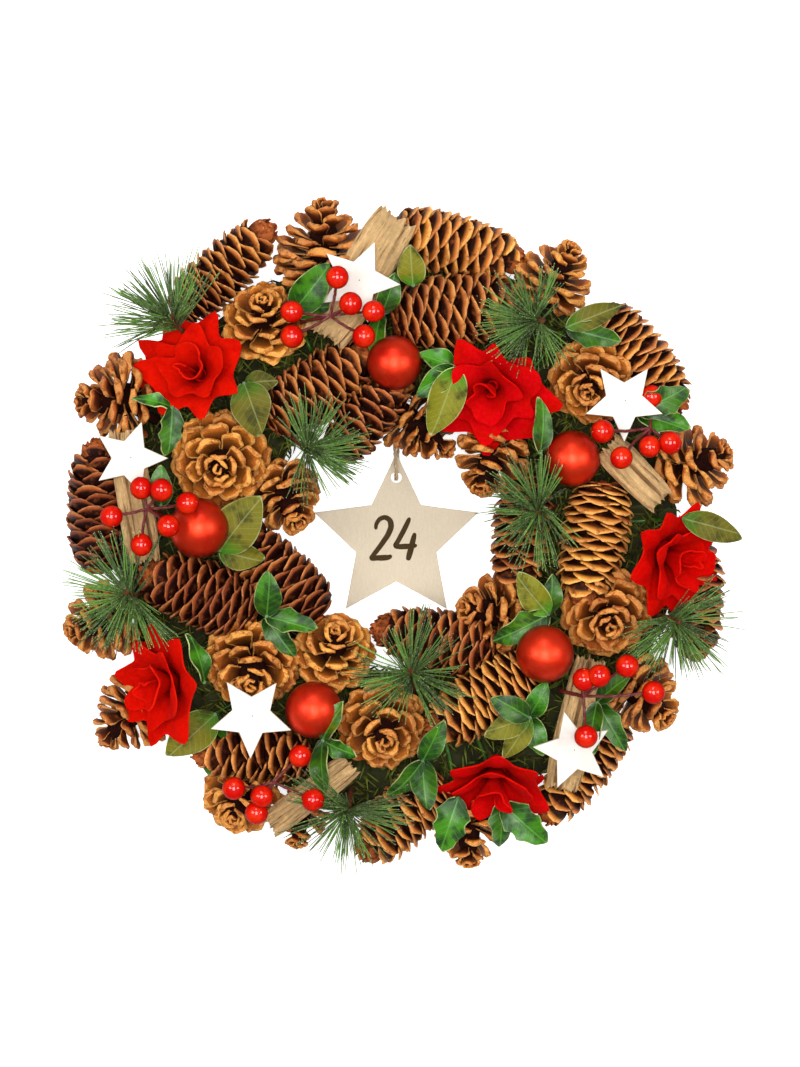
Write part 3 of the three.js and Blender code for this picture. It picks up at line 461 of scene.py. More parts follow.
class WreathStageSettings(PropertyGroup):
    key_power: FloatProperty(
        name="Key power", description="Power that the soft lights share", default=27, min=0, unit="POWER"
    )
    ambient: share_property("Ambient", "Strength of the even light from all round", 0.2)
    floor_glow: share_property("Floor glow", "Light that the table gives from below", 0.75)
    floor_colour: colour_property("Floor", "Colour of the pale floor", (246, 246, 245))


class WreathRingSettings(PropertyGroup):
    ribbon_width: length_property("Ribbon width", "Width of the ribbon wound round the ring", 21)
    ribbon_step: length_property("Ribbon step", "Height of each turn's edge over the one before it", 1.1)
    colour: colour_property("Ribbon", "Colour of the ribbon", (54, 58, 28))
    moss_strands: count_property("Moss strands", "Strands of dry moss caught in the ribbon", 5400, 8000)
    moss: colour_property("Moss", "Colour of the dry moss", (98, 104, 38))


class WreathTwineSettings(PropertyGroup):
    thickness: length_property("Thickness", "Diameter of the jute twine", 1.9)
    lay_length: length_property("Lay length", "Length of twine in which its strands turn round once", 6.5)
    stray_fibres: count_property("Stray fibres", "Fibres that stand out of the twine", 260, 2000)
    pale: colour_property("Pale fibres", "Colour of the fibres on top", (236, 216, 180))
    dark: colour_property("Dark fibres", "Colour between the strands", (178, 142, 94))


class WreathConeSettings(PropertyGroup):
    spruce_scale_area: area_property("Spruce scale area", "Skin of a spruce cone to each scale, in mm²", 88)
    pine_scale_area: area_property("Pine scale area", "Skin of a pine cone to each scale, in mm²", 118)
    spruce_colour: colour_property("Spruce scale", "Colour of the scales of a spruce cone", (202, 106, 48))
    # Partly a painted highlight: the scales' paler lips, made lighter to stand for the light that they catch
    spruce_lip_and_highlight: colour_property("Spruce lip", "Colour of a spruce scale towards its lip", (232, 156, 92))
    pine_colour: colour_property("Pine scale", "Colour of the broad ends of pine scales", (210, 112, 40))
    pine_back: colour_property("Pine back", "Colour of a pine scale's side towards the stalk", (98, 44, 20))
    pine_rim: colour_property("Pine rim", "Colour of the thick rims of pine scales", (236, 158, 82))
    # Painted shade: this near-black red darkens the roots and flanks of the cone scales and colours the cones'
    # hearts, for the shade deep between the scales
    inside: colour_property("Inside", "Colour deep between the scales", (34, 5, 2))


class WreathRoseSettings(PropertyGroup):
    felt_thickness: length_property("Felt thickness", "Thickness of the petals", 0.9)
    felt: colour_property("Felt", "Colour of the petals", (204, 8, 0))
    # Painted shade deep in the bloom, where the petals shade one another
    fold_shade: colour_property("Fold", "Colour deep in the bloom", (112, 2, 0))
    edge: colour_property("Edge", "Colour of the cut edge", (232, 34, 12))


class WreathBaubleSettings(PropertyGroup):
    colour: colour_property("Lacquer", "Colour of the satin lacquer", (250, 58, 22))
    shade: colour_property("Shade", "Colour of the thinner lacquer", (232, 36, 10))
    metal: colour_property("Cap", "Colour of the metal cap and pick", (196, 190, 178))


class WreathBerrySettings(PropertyGroup):
    radius: length_property("Berry radius", "Radius of a berry", 6.1)
    stalk: length_property("Stalk", "Thickness of a stalk", 1.7)
    skin: colour_property("Skin", "Colour of the berries", (206, 14, 5))
    blush: colour_property("Blush", "Colour of the paler patches on the berries", (226, 42, 12))
    stalk_colour: colour_property("Stalk colour", "Colour of the stalks", (120, 26, 20))


class WreathStarSettings(PropertyGroup):
    edge_round: length_property("Edge rounding", "Rounding of the cut edges of the stars", 0.25)
    paint: colour_property("Paint", "Colour of the painted stars", (236, 231, 222))
    cut_edge: colour_property("Cut edge", "Colour of the wood at the edges", (214, 190, 150))
    birch: colour_property("Birch", "Colour of the plain star", (223, 210, 188))
    birch_grain: colour_property("Birch grain", "Colour of the plain star's grain", (217, 202, 175))
    figures: colour_property("Figures", "Colour of the brushed figures", (64, 46, 14))


class WreathWoodSettings(PropertyGroup):
    relief: length_property("Relief", "Height of the weathered ridges", 1.1)
    pale: colour_property("Pale wood", "Colour of the raised fibres", (250, 206, 144))
    dark: colour_property("Dark wood", "Colour in the cracks", (116, 72, 38))


class WreathNeedleSettings(PropertyGroup):
    per_tuft: count_property("Needles", "Needles in each tuft", 210, 400)
    thickness: length_property("Thickness", "Thickness of a needle at its root", 0.66)
    green: colour_property("Needle green", "Colour of the needles", (98, 132, 48))
    blue: colour_property("Needle blue", "Colour of the bluer needles", (44, 86, 42))
    tip: colour_property("Needle tip", "Colour of the pale tips", (216, 222, 180))
    bark: colour_property("Twig", "Colour of the twig", (140, 80, 50))


class WreathLeafSettings(PropertyGroup):
    thickness: length_property("Thickness", "Thickness of a leaf", 0.6)
    wave: length_property("Wave", "Height of the waves along a leaf's edge", 1.1)
    face: colour_property("Face", "Colour of the glossy side", (64, 124, 14))
    shade: colour_property("Shade", "Colour of the darker patches", (18, 58, 6))
    under: colour_property("Underside", "Colour of the dull side", (116, 112, 16))
    spots: colour_property("Spots", "Colour of the brown patches on the dull side", (62, 62, 12))
    edge: colour_property("Edge", "Colour of the pale cut edge", (186, 196, 130))


# Directions, places and outlines


def around(angle, radius, height=0.0):
    """The point at an angle about +Z, in radians."""
    return Vector((radius * math.cos(angle), radius * math.sin(angle), height))


def spun(side, other, angle):
    """The direction at an angle from one side of a path towards the other."""
    return side * math.cos(angle) + other * math.sin(angle)


def heading_vector(heading, tilt):
    tilt = math.radians(tilt)
    return around(math.radians(heading), math.cos(tilt), math.sin(tilt))


def aimed(at, direction):
    """The matrix that stands a piece made along +Z at a place, with +Z along a direction."""
    return Matrix.Translation(Vector(at)) @ UP.rotation_difference(direction).to_matrix().to_4x4()


def standing(at, heading, tilt, turn=0.0):
    """The same for a heading and tilt, with the piece turned about its own axis, all in degrees."""
    return aimed(at, heading_vector(heading, tilt)) @ Matrix.Rotation(math.radians(turn), 4, "Z")


def share_of(outline, along):
    """The value of an outline at a place along it."""
    if along <= outline[0][0]:
        return outline[0][1]
    for (t0, r0), (t1, r1) in zip(outline, outline[1:]):
        if along <= t1:
            return r0 + (r1 - r0) * (along - t0) / (t1 - t0)
    return outline[-1][1]


def even_places(outline, count):
    """The places along an axis that give each of count scales the same share of the skin."""
    steps = 400
    sums = [0.0]
    for step in range(steps):
        sums.append(sums[-1] + share_of(outline, (step + 0.5) / steps))
    places = []
    step = 0
    for scale in range(count):
        wanted = sums[-1] * (scale + 0.5) / count
        while sums[step + 1] < wanted:
            step += 1
        places.append((step + (wanted - sums[step]) / (sums[step + 1] - sums[step])) / steps)
    return places


def on_ring_top(x, y, z=RING_HEIGHT - 1):
    """The point on the ring's flat top that is nearest to a place above it."""
    reach = math.hypot(x, y)
    margin = RING_BEVEL + 4
    kept = min(max(reach, RING_INNER + margin), RING_OUTER - margin)
    return Vector((x * kept / reach, y * kept / reach, z))


def smooth_route(points, steps):
    """A smooth curve through points, each an equal number of steps from the next."""
    def mixed(start, end, t, first, last):
        return start * ((last - t) / (last - first)) + end * ((t - first) / (last - first))

    points = [Vector(p) for p in points]
    ends = [points[0] * 2 - points[1], *points, points[-1] * 2 - points[-2]]
    route = []
    for p0, p1, p2, p3 in zip(ends, ends[1:], ends[2:], ends[3:]):
        knots = [0.0]
        for a, b in ((p0, p1), (p1, p2), (p2, p3)):
            knots.append(knots[-1] + max((b - a).length, 1e-6) ** 0.5)
        t0, t1, t2, t3 = knots
        for step in range(steps):
            t = t1 + (t2 - t1) * step / steps
            near, far = mixed(p0, p1, t, t0, t1), mixed(p2, p3, t, t2, t3)
            middle = mixed(p1, p2, t, t1, t2)
            route.append(mixed(mixed(near, middle, t, t0, t2), mixed(middle, far, t, t1, t3), t, t1, t2))
    route.append(points[-1])
    return route


def carried_frames(path):
    """The tangent and two sides of a path at each of its points, turned as little as possible."""
    frames = []
    side = None
    last = len(path) - 1
    for i in range(last + 1):
        tangent = (path[min(i + 1, last)] - path[max(i - 1, 0)]).normalized()
        if side is None:
            side = tangent.orthogonal().normalized()
        side = (side - tangent * side.dot(tangent)).normalized()
        frames.append((tangent, side, tangent.cross(side)))
    return frames


# Mesh making


class PieceMesh:
    """Points in mm and faces of one piece, with the values that its materials read.

    tone differs from one scale, petal or needle to the next, along runs from its root to its end, rim
    is 1 at its edge, and grain is the place in the piece's own frame, in metres.
    """

    def __init__(self):
        self.points = []
        self.faces = []
        self.finishes = []
        self.tone = []
        self.along = []
        self.rim = []
        self.grain = []

    def add_point(self, place, tone=0.5, along=0.0, rim=0.0, grain=None):
        self.points.append(place)
        self.tone.append(tone)
        self.along.append(along)
        self.rim.append(rim)
        self.grain.append((place if grain is None else grain) * MM)
        return len(self.points) - 1

    def add_local(self, seat, local, tone=0.5, along=0.5, rim=0.0):
        """A point given in the piece's own frame, which its seat takes to its place."""
        return self.add_point(seat @ local, tone, along, rim, local)

    def add_face(self, corners, finish=0):
        self.faces.append(corners)
        self.finishes.append(finish)

    def add_skin(self, rows, finish=0, closed=False, flip=False):
        """Faces between rows of point numbers. A closed skin joins the ends of each row."""
        for low, high in zip(rows, rows[1:]):
            count = len(low)
            for j in range(count if closed else count - 1):
                k = (j + 1) % count
                corners = (low[j], low[k], high[k], high[j])
                self.add_face(corners[::-1] if flip else corners, finish)

    def add_cap(self, pole, ring, finish=0):
        """Faces from the pole of a closed ring to each of its sides."""
        for i, corner in enumerate(ring):
            self.add_face((pole, corner, ring[(i + 1) % len(ring)]), finish)

    def add_blade(self, grid, seat, tone, finish=0, back_finish=None):
        """A thin solid blade from rows of local points, each with the blade's thickness there."""
        rows, columns = len(grid), len(grid[0])
        top, bottom = [], []
        for i in range(rows):
            top.append([])
            bottom.append([])
            for j in range(columns):
                point, thickness = grid[i][j]
                down = grid[min(i + 1, rows - 1)][j][0] - grid[max(i - 1, 0)][j][0]
                across = grid[i][min(j + 1, columns - 1)][0] - grid[i][max(j - 1, 0)][0]
                normal = down.cross(across)
                normal = normal.normalized() if normal.length > 1e-9 else UP.copy()
                half = normal * (thickness / 2)
                along = i / (rows - 1)
                rim = max(abs(2 * j / (columns - 1) - 1), along)
                for side, local in ((top, point - half), (bottom, point + half)):
                    side[-1].append(self.add_local(seat, local, tone, along, rim))
        self.add_skin(top, finish)
        self.add_skin(bottom, finish if back_finish is None else back_finish, flip=True)
        for edge in (
            (bottom[0], top[0]),
            (top[-1], bottom[-1]),
            ([row[0] for row in top], [row[0] for row in bottom]),
            ([row[-1] for row in bottom], [row[-1] for row in top]),
        ):
            self.add_skin(edge, finish)

    def add_tube(self, path, radii, sides, tone=0.5, finish=0, twist=0.0, ridge=0.0):
        """A closed tube along a path. Ridges run round it, turned by twist degrees from end to end."""
        if not isinstance(radii, (list, tuple)):
            radii = [radii] * len(path)
        rings = []
        last = len(path) - 1
        walked = 0.0
        for i, (centre, radius, (_, side, other)) in enumerate(zip(path, radii, carried_frames(path))):
            if i:
                walked += (centre - path[i - 1]).length
            ring = []
            for corner in range(sides):
                angle = 2 * math.pi * corner / sides
                out = spun(side, other, angle + math.radians(twist) * i / last)
                point = centre + out * (radius * (1 + ridge * math.cos(3 * angle)))
                ring.append(self.add_point(point, tone, i / last, 0.0, around(angle, radius, walked)))
            rings.append(ring)
        self.add_skin(rings, finish, closed=True)
        self.add_cap(self.add_point(path[0], tone, 0.0), rings[0][::-1], finish)
        self.add_cap(self.add_point(path[-1], tone, 1.0), rings[-1], finish)

    def add_turned(self, profile, sides, seat, tone=0.5, finish=0):
        """A body turned about +Z from (radius, height) points that start and end on the axis."""
        rings = []
        count = len(profile) - 1
        for i, (radius, height) in enumerate(profile[1:-1], 1):
            ring = []
            for side in range(sides):
                point = around(2 * math.pi * side / sides, radius, height)
                ring.append(self.add_local(seat, point, tone, i / count))
            rings.append(ring)
        self.add_skin(rings, finish, closed=True)
        for (_, height), ring, along in ((profile[0], rings[0][::-1], 0.0), (profile[-1], rings[-1], 1.0)):
            self.add_cap(self.add_local(seat, UP * height, tone, along), ring, finish)

    def finish_object(self, name, materials, sharp_angle=50):
        mesh = bpy.data.meshes.new(name)
        mesh.from_pydata([tuple(p * MM) for p in self.points], [], self.faces)
        for material in materials:
            mesh.materials.append(material)
        mesh.polygons.foreach_set("material_index", self.finishes)
        mesh.polygons.foreach_set("use_smooth", [True] * len(mesh.polygons))
        for key, values in (("tone", self.tone), ("along", self.along), ("rim", self.rim)):
            mesh.attributes.new(key, "FLOAT", "POINT").data.foreach_set("value", values)
        flat = [value for place in self.grain for value in place]
        mesh.attributes.new("grain", "FLOAT_VECTOR", "POINT").data.foreach_set("vector", flat)
        mesh.validate()
        mesh.update()
        mesh.set_sharp_from_angle(angle=math.radians(sharp_angle))
        made = bpy.data.objects.new(name, mesh)
        bpy.context.scene.collection.objects.link(made)
        return made

    def hand_over(self, name, materials, sharp_angle, slot, *nodes):
        """Makes the piece, ties it to the body and hides the CAD nodes that it stands for. Its slot is not
        used.
        """
        made = self.finish_object(name, materials, sharp_angle)
        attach(made, "root")
        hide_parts(*nodes)
        return made


def like_pieces(table, old_name, new_name, materials, sharp_angle, slot, seed=0):
    """Each row of a table with a mesh and dice of its own. The mesh is handed over once it is filled."""
    for index, (node, row) in enumerate(table.items()):
        mesh = PieceMesh()
        yield index, row, mesh, random.Random(seed + index)
        mesh.hand_over(node.replace(old_name, new_name), materials, sharp_angle, slot, node)


# Shared effects, as shader node groups

VECTOR, COLOUR, NUMBER = "NodeSocketVector", "NodeSocketColor", "NodeSocketFloat"
DIRT = (0.02, 0.008, 0.004)
PATCH_SOFTNESS = 0.12


class Graph:
    """Shader nodes in one tree. A value is a socket, a plain number, a vector or a colour."""

    def __init__(self, tree):
        self.tree = tree

    def wire_up(self, socket, value):
        """Links a value into a socket, or writes it there where it isn't a socket itself."""
        if isinstance(value, bpy.types.NodeSocket):
            self.tree.links.new(value, socket)
        elif socket.type == "RGBA":
            socket.default_value = (*value, 1)
        else:
            socket.default_value = value

    def node(self, kind, inputs, **settings):
        """The outputs of a new node, with values for its inputs by name or number."""
        made = self.tree.nodes.new(kind)
        for name, value in settings.items():
            setattr(made, name, value)
        for key, value in inputs.items():
            self.wire_up(made.inputs[key], value)
        return made.outputs

    def maths(self, operation, first, second=0.0):
        return self.node("ShaderNodeMath", {0: first, 1: second}, operation=operation)[0]

    def times(self, first, second):
        return self.maths("MULTIPLY", first, second)

    def plus(self, first, second):
        return self.maths("ADD", first, second)

    def minus(self, first, second):
        return self.maths("SUBTRACT", first, second)

    def between(self, value, low, high, to_low=0.0, to_high=1.0):
        """A value brought from one range to another, held at both ends and eased between them."""
        given = {"Value": value, "From Min": low, "From Max": high, "To Min": to_low, "To Max": to_high}
        return self.node("ShaderNodeMapRange", given, interpolation_type="SMOOTHSTEP")["Result"]

    def across(self, mask, to_low, to_high):
        """A mask from 0 to 1 brought to another range."""
        return self.between(mask, 0.0, 1.0, to_low, to_high)

    def blend(self, share, first, second):
        return self.node("ShaderNodeMix", {0: share, 6: first, 7: second}, data_type="RGBA")[2]

    def overlaid(self, colour, mask, share, over):
        """A colour with another over it by a share of a mask."""
        return self.blend(self.times(mask, share), colour, over)

    def cloud(self, vector, scale, detail=3.0, roughness=0.55):
        given = {"Vector": vector, "Scale": scale, "Detail": detail, "Roughness": roughness}
        return self.node("ShaderNodeTexNoise", given)["Fac"]

    def stretched(self, vector, scale):
        return self.node("ShaderNodeVectorMath", {0: vector, 1: scale}, operation="MULTIPLY")[0]


class Effect(Graph):
    """A node group in the making, with its inputs and outputs by name. A number is a float's default."""

    def __init__(self, name, inputs, outputs):
        super().__init__(bpy.data.node_groups.new(name, "ShaderNodeTree"))
        for label, value in inputs.items():
            has_default = not isinstance(value, str)
            kind = NUMBER if has_default else value
            socket = self.tree.interface.new_socket(label, in_out="INPUT", socket_type=kind)
            if has_default:
                socket.default_value = value
        for label, kind in outputs.items():
            self.tree.interface.new_socket(label, in_out="OUTPUT", socket_type=kind)
        self.given = self.tree.nodes.new("NodeGroupInput").outputs
        self.out = self.tree.nodes.new("NodeGroupOutput").inputs

    def done(self, **values):
        for label, value in values.items():
            self.wire_up(self.out[label.replace("_", " ")], value)
        return self.tree


def mottle_effect():
    """Patches of one colour on another, with finer specks, and the mask that they follow."""
    effect = Effect(
        "Mottle",
        {"Vector": VECTOR, "Ground": COLOUR, "Patches": COLOUR, "Scale": 120.0, "Cover": 0.5, "Specks": 0.15},
        {"Color": COLOUR, "Mask": NUMBER},
    )
    given = effect.given
    patches = effect.cloud(given["Vector"], given["Scale"], 4.0, 0.6)
    floor = effect.minus(0.72, effect.times(given["Cover"], 0.44))
    mask = effect.between(patches, effect.minus(floor, PATCH_SOFTNESS), effect.plus(floor, PATCH_SOFTNESS))
    colour = effect.blend(mask, given["Ground"], given["Patches"])
    specks = effect.cloud(given["Vector"], effect.times(given["Scale"], 9.0), 2.0)
    dark = effect.between(specks, 0.4, 0.62, 1.0, 0.0)
    return effect.done(Color=effect.overlaid(colour, dark, given["Specks"], DIRT), Mask=mask)


def fibre_effect():
    """Fibres that run along one axis of a piece: masks for their colour and cracks, and a height."""
    effect = Effect(
        "Fibres", {"Vector": VECTOR, "Stretch": VECTOR, "Scale": 60.0},
        {"Mask": NUMBER, "Height": NUMBER, "Cracks": NUMBER},
    )
    given = effect.given
    run = effect.stretched(given["Vector"], given["Stretch"])
    broad = effect.cloud(run, given["Scale"], 3.0, 0.6)
    fine = effect.cloud(run, effect.times(given["Scale"], 4.3), 3.0, 0.7)
    mask = effect.between(effect.plus(effect.times(broad, 0.6), effect.times(fine, 0.4)), 0.36, 0.62)
    cracks = effect.between(broad, 0.3, 0.4, 1.0, 0.0)
    return effect.done(Mask=mask, Height=effect.minus(mask, cracks), Cracks=cracks)


def rooted_effect():
    """Colour from the root to the end of a scale, petal or needle, then its rim, shifted by its own tone."""
    effect = Effect(
        "Root to rim",
        {"Along": 0.5, "Rim": 0.0, "Tone": 0.5, "Root": COLOUR, "Middle": COLOUR, "End": COLOUR,
         "Edge": COLOUR, "Root until": 0.3, "End from": 0.75, "Edge from": 0.93, "Variation": 0.3},
        {"Color": COLOUR},
    )
    given = effect.given
    root_until, end_from, edge_from = given["Root until"], given["End from"], given["Edge from"]
    to_middle = effect.between(given["Along"], effect.times(root_until, 0.4), effect.plus(root_until, 0.28))
    to_end = effect.between(given["Along"], effect.minus(end_from, 0.16), effect.plus(end_from, 0.14))
    to_edge = effect.between(given["Rim"], edge_from, effect.plus(edge_from, 0.06))
    colour = given["Root"]
    for share, label in ((to_middle, "Middle"), (to_end, "End"), (to_edge, "Edge")):
        colour = effect.blend(share, colour, given[label])
    shift = effect.times(effect.minus(given["Tone"], 0.5), given["Variation"])
    tint = {
        "Value": effect.plus(1.0, effect.times(shift, 1.6)),
        "Hue": effect.plus(0.5, effect.times(shift, 0.05)),
        "Color": colour,
    }
    return effect.done(Color=effect.node("ShaderNodeHueSaturation", tint)["Color"])


def fuzz_effect():
    """Short tangled fibres, as on felt, jute or ribbon: a height and a mask of the raised ones."""
    effect = Effect("Fuzz", {"Vector": VECTOR, "Scale": 900.0}, {"Height": NUMBER, "Mask": NUMBER})
    given = effect.given
    tangle = effect.node("ShaderNodeTexVoronoi", {"Vector": given["Vector"], "Scale": given["Scale"]})
    soft = effect.cloud(given["Vector"], effect.times(given["Scale"], 0.35), 4.0, 0.65)
    height = effect.plus(effect.times(tangle["Distance"], 0.5), soft)
    return effect.done(Height=height, Mask=effect.between(soft, 0.42, 0.6))


class Finish(Graph):
    """A material in the making: its shader, the values that a piece carries and the shared effects."""

    makers = {
        "Mottle": mottle_effect, "Fibres": fibre_effect, "Root to rim": rooted_effect, "Fuzz": fuzz_effect,
    }
    effects = {}

    def __init__(self, name, **values):
        self.material = bpy.data.materials.new(name)
        self.material.use_nodes = True
        super().__init__(self.material.node_tree)
        self.shader = next(n for n in self.tree.nodes if n.type == "BSDF_PRINCIPLED")
        self.shade(**values)

    def shade(self, **values):
        """Puts values on the shader's own sockets."""
        for label, value in values.items():
            self.wire_up(self.shader.inputs[label.replace("_", " ")], value)

    def carried(self, name):
        """A value that PieceMesh has written to the points."""
        output = "Vector" if name == "grain" else "Fac"
        return self.node("ShaderNodeAttribute", {}, attribute_name=name)[output]

    def place(self):
        return self.node("ShaderNodeTexCoord", {})["Object"]

    def facing(self):
        return self.node("ShaderNodeLayerWeight", {})["Facing"]

    def effect(self, name, **values):
        if name not in self.effects:
            self.effects[name] = self.makers[name]()
        made = self.tree.nodes.new("ShaderNodeGroup")
        made.node_tree = self.effects[name]
        for label, value in values.items():
            self.wire_up(made.inputs[label.replace("_", " ")], value)
        return made.outputs

    def mottled(self, ground, patches, scale, cover, specks):
        return self.effect(
            "Mottle", Vector=self.place(), Ground=ground, Patches=patches, Scale=scale, Cover=cover,
            Specks=specks,
        )

    def fibres(self, stretch, scale):
        return self.effect("Fibres", Vector=self.carried("grain"), Stretch=stretch, Scale=scale)

    def fuzz(self, scale):
        return self.effect("Fuzz", Vector=self.place(), Scale=scale)

    def rooted(self, colours, ranges, **values):
        """Colours for root, middle, end and edge, and where the root stops and the end and edge start."""
        for label in ("Along", "Rim", "Tone"):
            if label not in values:
                values[label] = self.carried(label.lower())
        values.update(zip(("Root", "Middle", "End", "Edge"), colours))
        values.update(zip(("Root_until", "End_from", "Edge_from"), ranges))
        return self.effect("Root to rim", **values)["Color"]

    def done(self, colour, height=None, relief=0.0, strength=1.0, rough=None, **values):
        """The material with its last values and bumps. Its relief is in millimetres, and rough says a mask
        and the roughness where it is 0 and 1."""
        self.shade(Base_Color=colour, **values)
        if rough is not None:
            self.shade(Roughness=self.across(*rough))
        if height is not None:
            bump = {"Height": height, "Distance": relief * MM, "Strength": strength}
            self.shade(Normal=self.node("ShaderNodeBump", bump)["Normal"])
        return self.material


# Materials


def spruce_finish(look):
    finish = Finish("Spruce scale", Specular_IOR_Level=0.12)
    # Painted shade: each scale goes near black towards its root and along its flanks short of the lip, where
    # the scales above shade it, less so on lighter cones
    along = finish.carried("along")
    tone = finish.carried("tone")
    painted_shade_until = finish.minus(0.38, finish.times(tone, 0.14))
    light_from = finish.minus(1.0, finish.times(tone, 0.16))
    # The lip colour is partly the scales' paler tips and partly a painted highlight
    lip = finish.rooted(
        (look.inside, look.spruce_colour, look.spruce_lip_and_highlight, shaded(look.spruce_lip_and_highlight, 1.05)),
        (0.45, 0.86, 0.94), Along=finish.between(along, painted_shade_until, light_from), Rim=along, Variation=0.62,
    )
    painted_flank_shade = finish.between(finish.carried("rim"), 0.7, 1.0, 0.0, 0.85)
    painted_flank_shade = finish.times(painted_flank_shade, finish.between(along, 0.7, 0.97, 1.0, 0.0))
    painted_flank_shade = finish.times(painted_flank_shade, finish.between(tone, 0.2, 1.1, 1.0, 0.35))
    skin = finish.blend(painted_flank_shade, lip, look.inside)
    spots = finish.mottled(skin, shaded(look.spruce_colour, 0.42), 210.0, 0.22, 0.2)
    streaks = finish.fibres((5.0, 5.0, 0.8), 330.0)
    scale = finish.overlaid(spots["Color"], streaks["Cracks"], 0.3, shaded(look.spruce_colour, 0.35))
    return finish.done(scale, streaks["Height"], 0.22, 0.7, rough=(spots["Mask"], 0.4, 0.62))


def pine_finish(look, name, middle, end, end_from, edge_from):
    """One side of a pine scale, from painted shade at its root to its light thick rim."""
    finish = Finish(name, Specular_IOR_Level=0.16)
    colours = (look.inside, middle, end, look.pine_rim)
    rim = finish.rooted(colours, (0.36, end_from, edge_from), Variation=0.42)
    grain = finish.fibres((4.0, 4.0, 1.0), 260.0)
    spots = finish.mottled(rim, shaded(look.pine_colour, 0.5), 170.0, 0.26, 0.25)
    scale = finish.overlaid(spots["Color"], grain["Cracks"], 0.4, shaded(look.pine_colour, 0.35))
    return finish.done(scale, grain["Height"], 0.25, 0.7, rough=(spots["Mask"], 0.48, 0.78))


# Painted shade: a near-black core for the cones' hearts, and the stalks under them, that blocks the view
# through the gaps between the scales so that they read as deep shade
def heart_finish(look):
    finish = Finish("Cone heart", Roughness=0.9, Specular_IOR_Level=0.1)
    bark = finish.mottled(shaded(look.inside, 0.7), shaded(look.inside, 1.8), 260.0, 0.4, 0.4)
    return finish.done(bark["Color"], bark["Mask"], 0.5)


def stub_finish(look):
    """The woody end that a cone broke from its twig with, and the closed scales at its tip."""
    finish = Finish("Cone stub", Roughness=0.8, Specular_IOR_Level=0.15)
    wood = finish.mottled(look.spruce_colour, look.pine_back, 300.0, 0.4, 0.3)
    deep = finish.between(finish.carried("along"), 0.1, 0.9, 0.55, 0.0)
    return finish.done(finish.blend(deep, wood["Color"], look.pine_back), wood["Mask"], 0.6)


def felt_finish(look):
    finish = Finish(
        "Red felt", Roughness=0.96, Specular_IOR_Level=0.04, Sheen_Weight=0.05,
        Sheen_Roughness=0.5, Sheen_Tint=look.edge,
    )
    # Painted shade: the petals darken to the fold colour towards their roots, deep in the bloom
    depth = finish.rooted((look.fold_shade, look.felt, look.felt, look.edge), (0.22, 0.8, 0.975), Variation=0.12)
    nap = finish.fuzz(1500.0)
    shade = finish.mottled(depth, shaded(look.felt, 0.8), 90.0, 0.35, 0.0)
    napped = finish.overlaid(shade["Color"], nap["Mask"], 0.16, look.edge)
    return finish.done(napped, nap["Height"], 0.16, 0.5)


def lacquer_finish(look):
    finish = Finish("Satin lacquer", Metallic=0.85, Coat_Weight=0.15, Coat_Roughness=0.3)
    dust = finish.mottled(look.colour, look.shade, 70.0, 0.25, 0.03)
    grit = finish.fuzz(2200.0)
    # Painted shade: the lacquer darkens towards the bauble's rim as seen, for the dark surroundings that the
    # rim would reflect
    turned = finish.between(finish.facing(), 0.3, 0.85, 0.0, 0.7)
    return finish.done(
        finish.blend(turned, dust["Color"], shaded(look.shade, 0.15)), grit["Height"], 0.03, 0.35,
        rough=(grit["Mask"], 0.4, 0.48),
    )


def metal_finish(look):
    finish = Finish("Pick metal", Metallic=1.0)
    tarnish = finish.mottled(look.metal, shaded(look.metal, 0.55), 300.0, 0.4, 0.2)
    return finish.done(tarnish["Color"], tarnish["Mask"], 0.04, 0.5, rough=(tarnish["Mask"], 0.25, 0.5))


def berry_finish(look):
    finish = Finish("Berry skin", Coat_Roughness=0.05, Specular_IOR_Level=0.02)
    facing = finish.facing()
    skin = finish.mottled(look.skin, look.blush, 130.0, 0.42, 0.05)["Color"]
    # Painted shade: the skin darkens towards the berry's rim as seen, for the dark surroundings that the rim
    # would reflect
    skin = finish.blend(finish.between(facing, 0.3, 0.9, 0.0, 0.75), skin, shaded(look.skin, 0.3))
    eye = finish.between(finish.carried("along"), 0.955, 0.985)
    wrinkle = finish.cloud(finish.place(), 420.0, 2.0)
    return finish.done(
        finish.blend(eye, skin, (0.035, 0.01, 0.006)), wrinkle, 0.14, 0.35,
        Roughness=finish.between(wrinkle, 0.3, 0.7, 0.24, 0.36),
        Coat_Weight=finish.between(facing, 0.07, 0.22, 1.0, 0.0),
    )


def fibrous(finish, colour, dark, stretch, scale, rough, relief, strength):
    """A material of one colour, darker between fibres that run along the piece."""
    fibres = finish.fibres(stretch, scale)
    skin = finish.blend(fibres["Mask"], shaded(colour, dark), colour)
    return finish.done(skin, fibres["Height"], relief, strength, rough=(fibres["Mask"], *rough))


def stalk_finish(look):
    finish = Finish("Berry stalk", Coat_Weight=0.25, Coat_Roughness=0.3)
    return fibrous(finish, look.stalk_colour, 0.45, (4.0, 4.0, 1.0), 420.0, (0.6, 0.42), 0.2, 0.7)


def figure_finish(look):
    finish = Finish("Figure paint", Specular_IOR_Level=0.1)
    return fibrous(finish, look.figures, 0.75, (7.0, 7.0, 1.0), 160.0, (0.62, 0.48), 0.05, 0.5)


def bark_finish(look):
    finish = Finish("Twig bark", Specular_IOR_Level=0.2)
    return fibrous(finish, look.bark, 0.35, (3.0, 3.0, 1.0), 380.0, (0.9, 0.7), 0.4, 0.8)


def paint_finish(look):
    finish = Finish("White paint", Specular_IOR_Level=0.35)
    brushed = finish.fibres((1.0, 9.0, 3.0), 140.0)
    worn = finish.mottled(look.paint, shaded(look.paint, 0.93), 160.0, 0.3, 0.02)
    edge = finish.between(finish.carried("rim"), 0.5, 0.9, 0.0, 0.45)
    return finish.done(
        finish.blend(edge, worn["Color"], look.cut_edge), brushed["Height"], 0.07, 0.5,
        rough=(brushed["Mask"], 0.52, 0.68),
    )


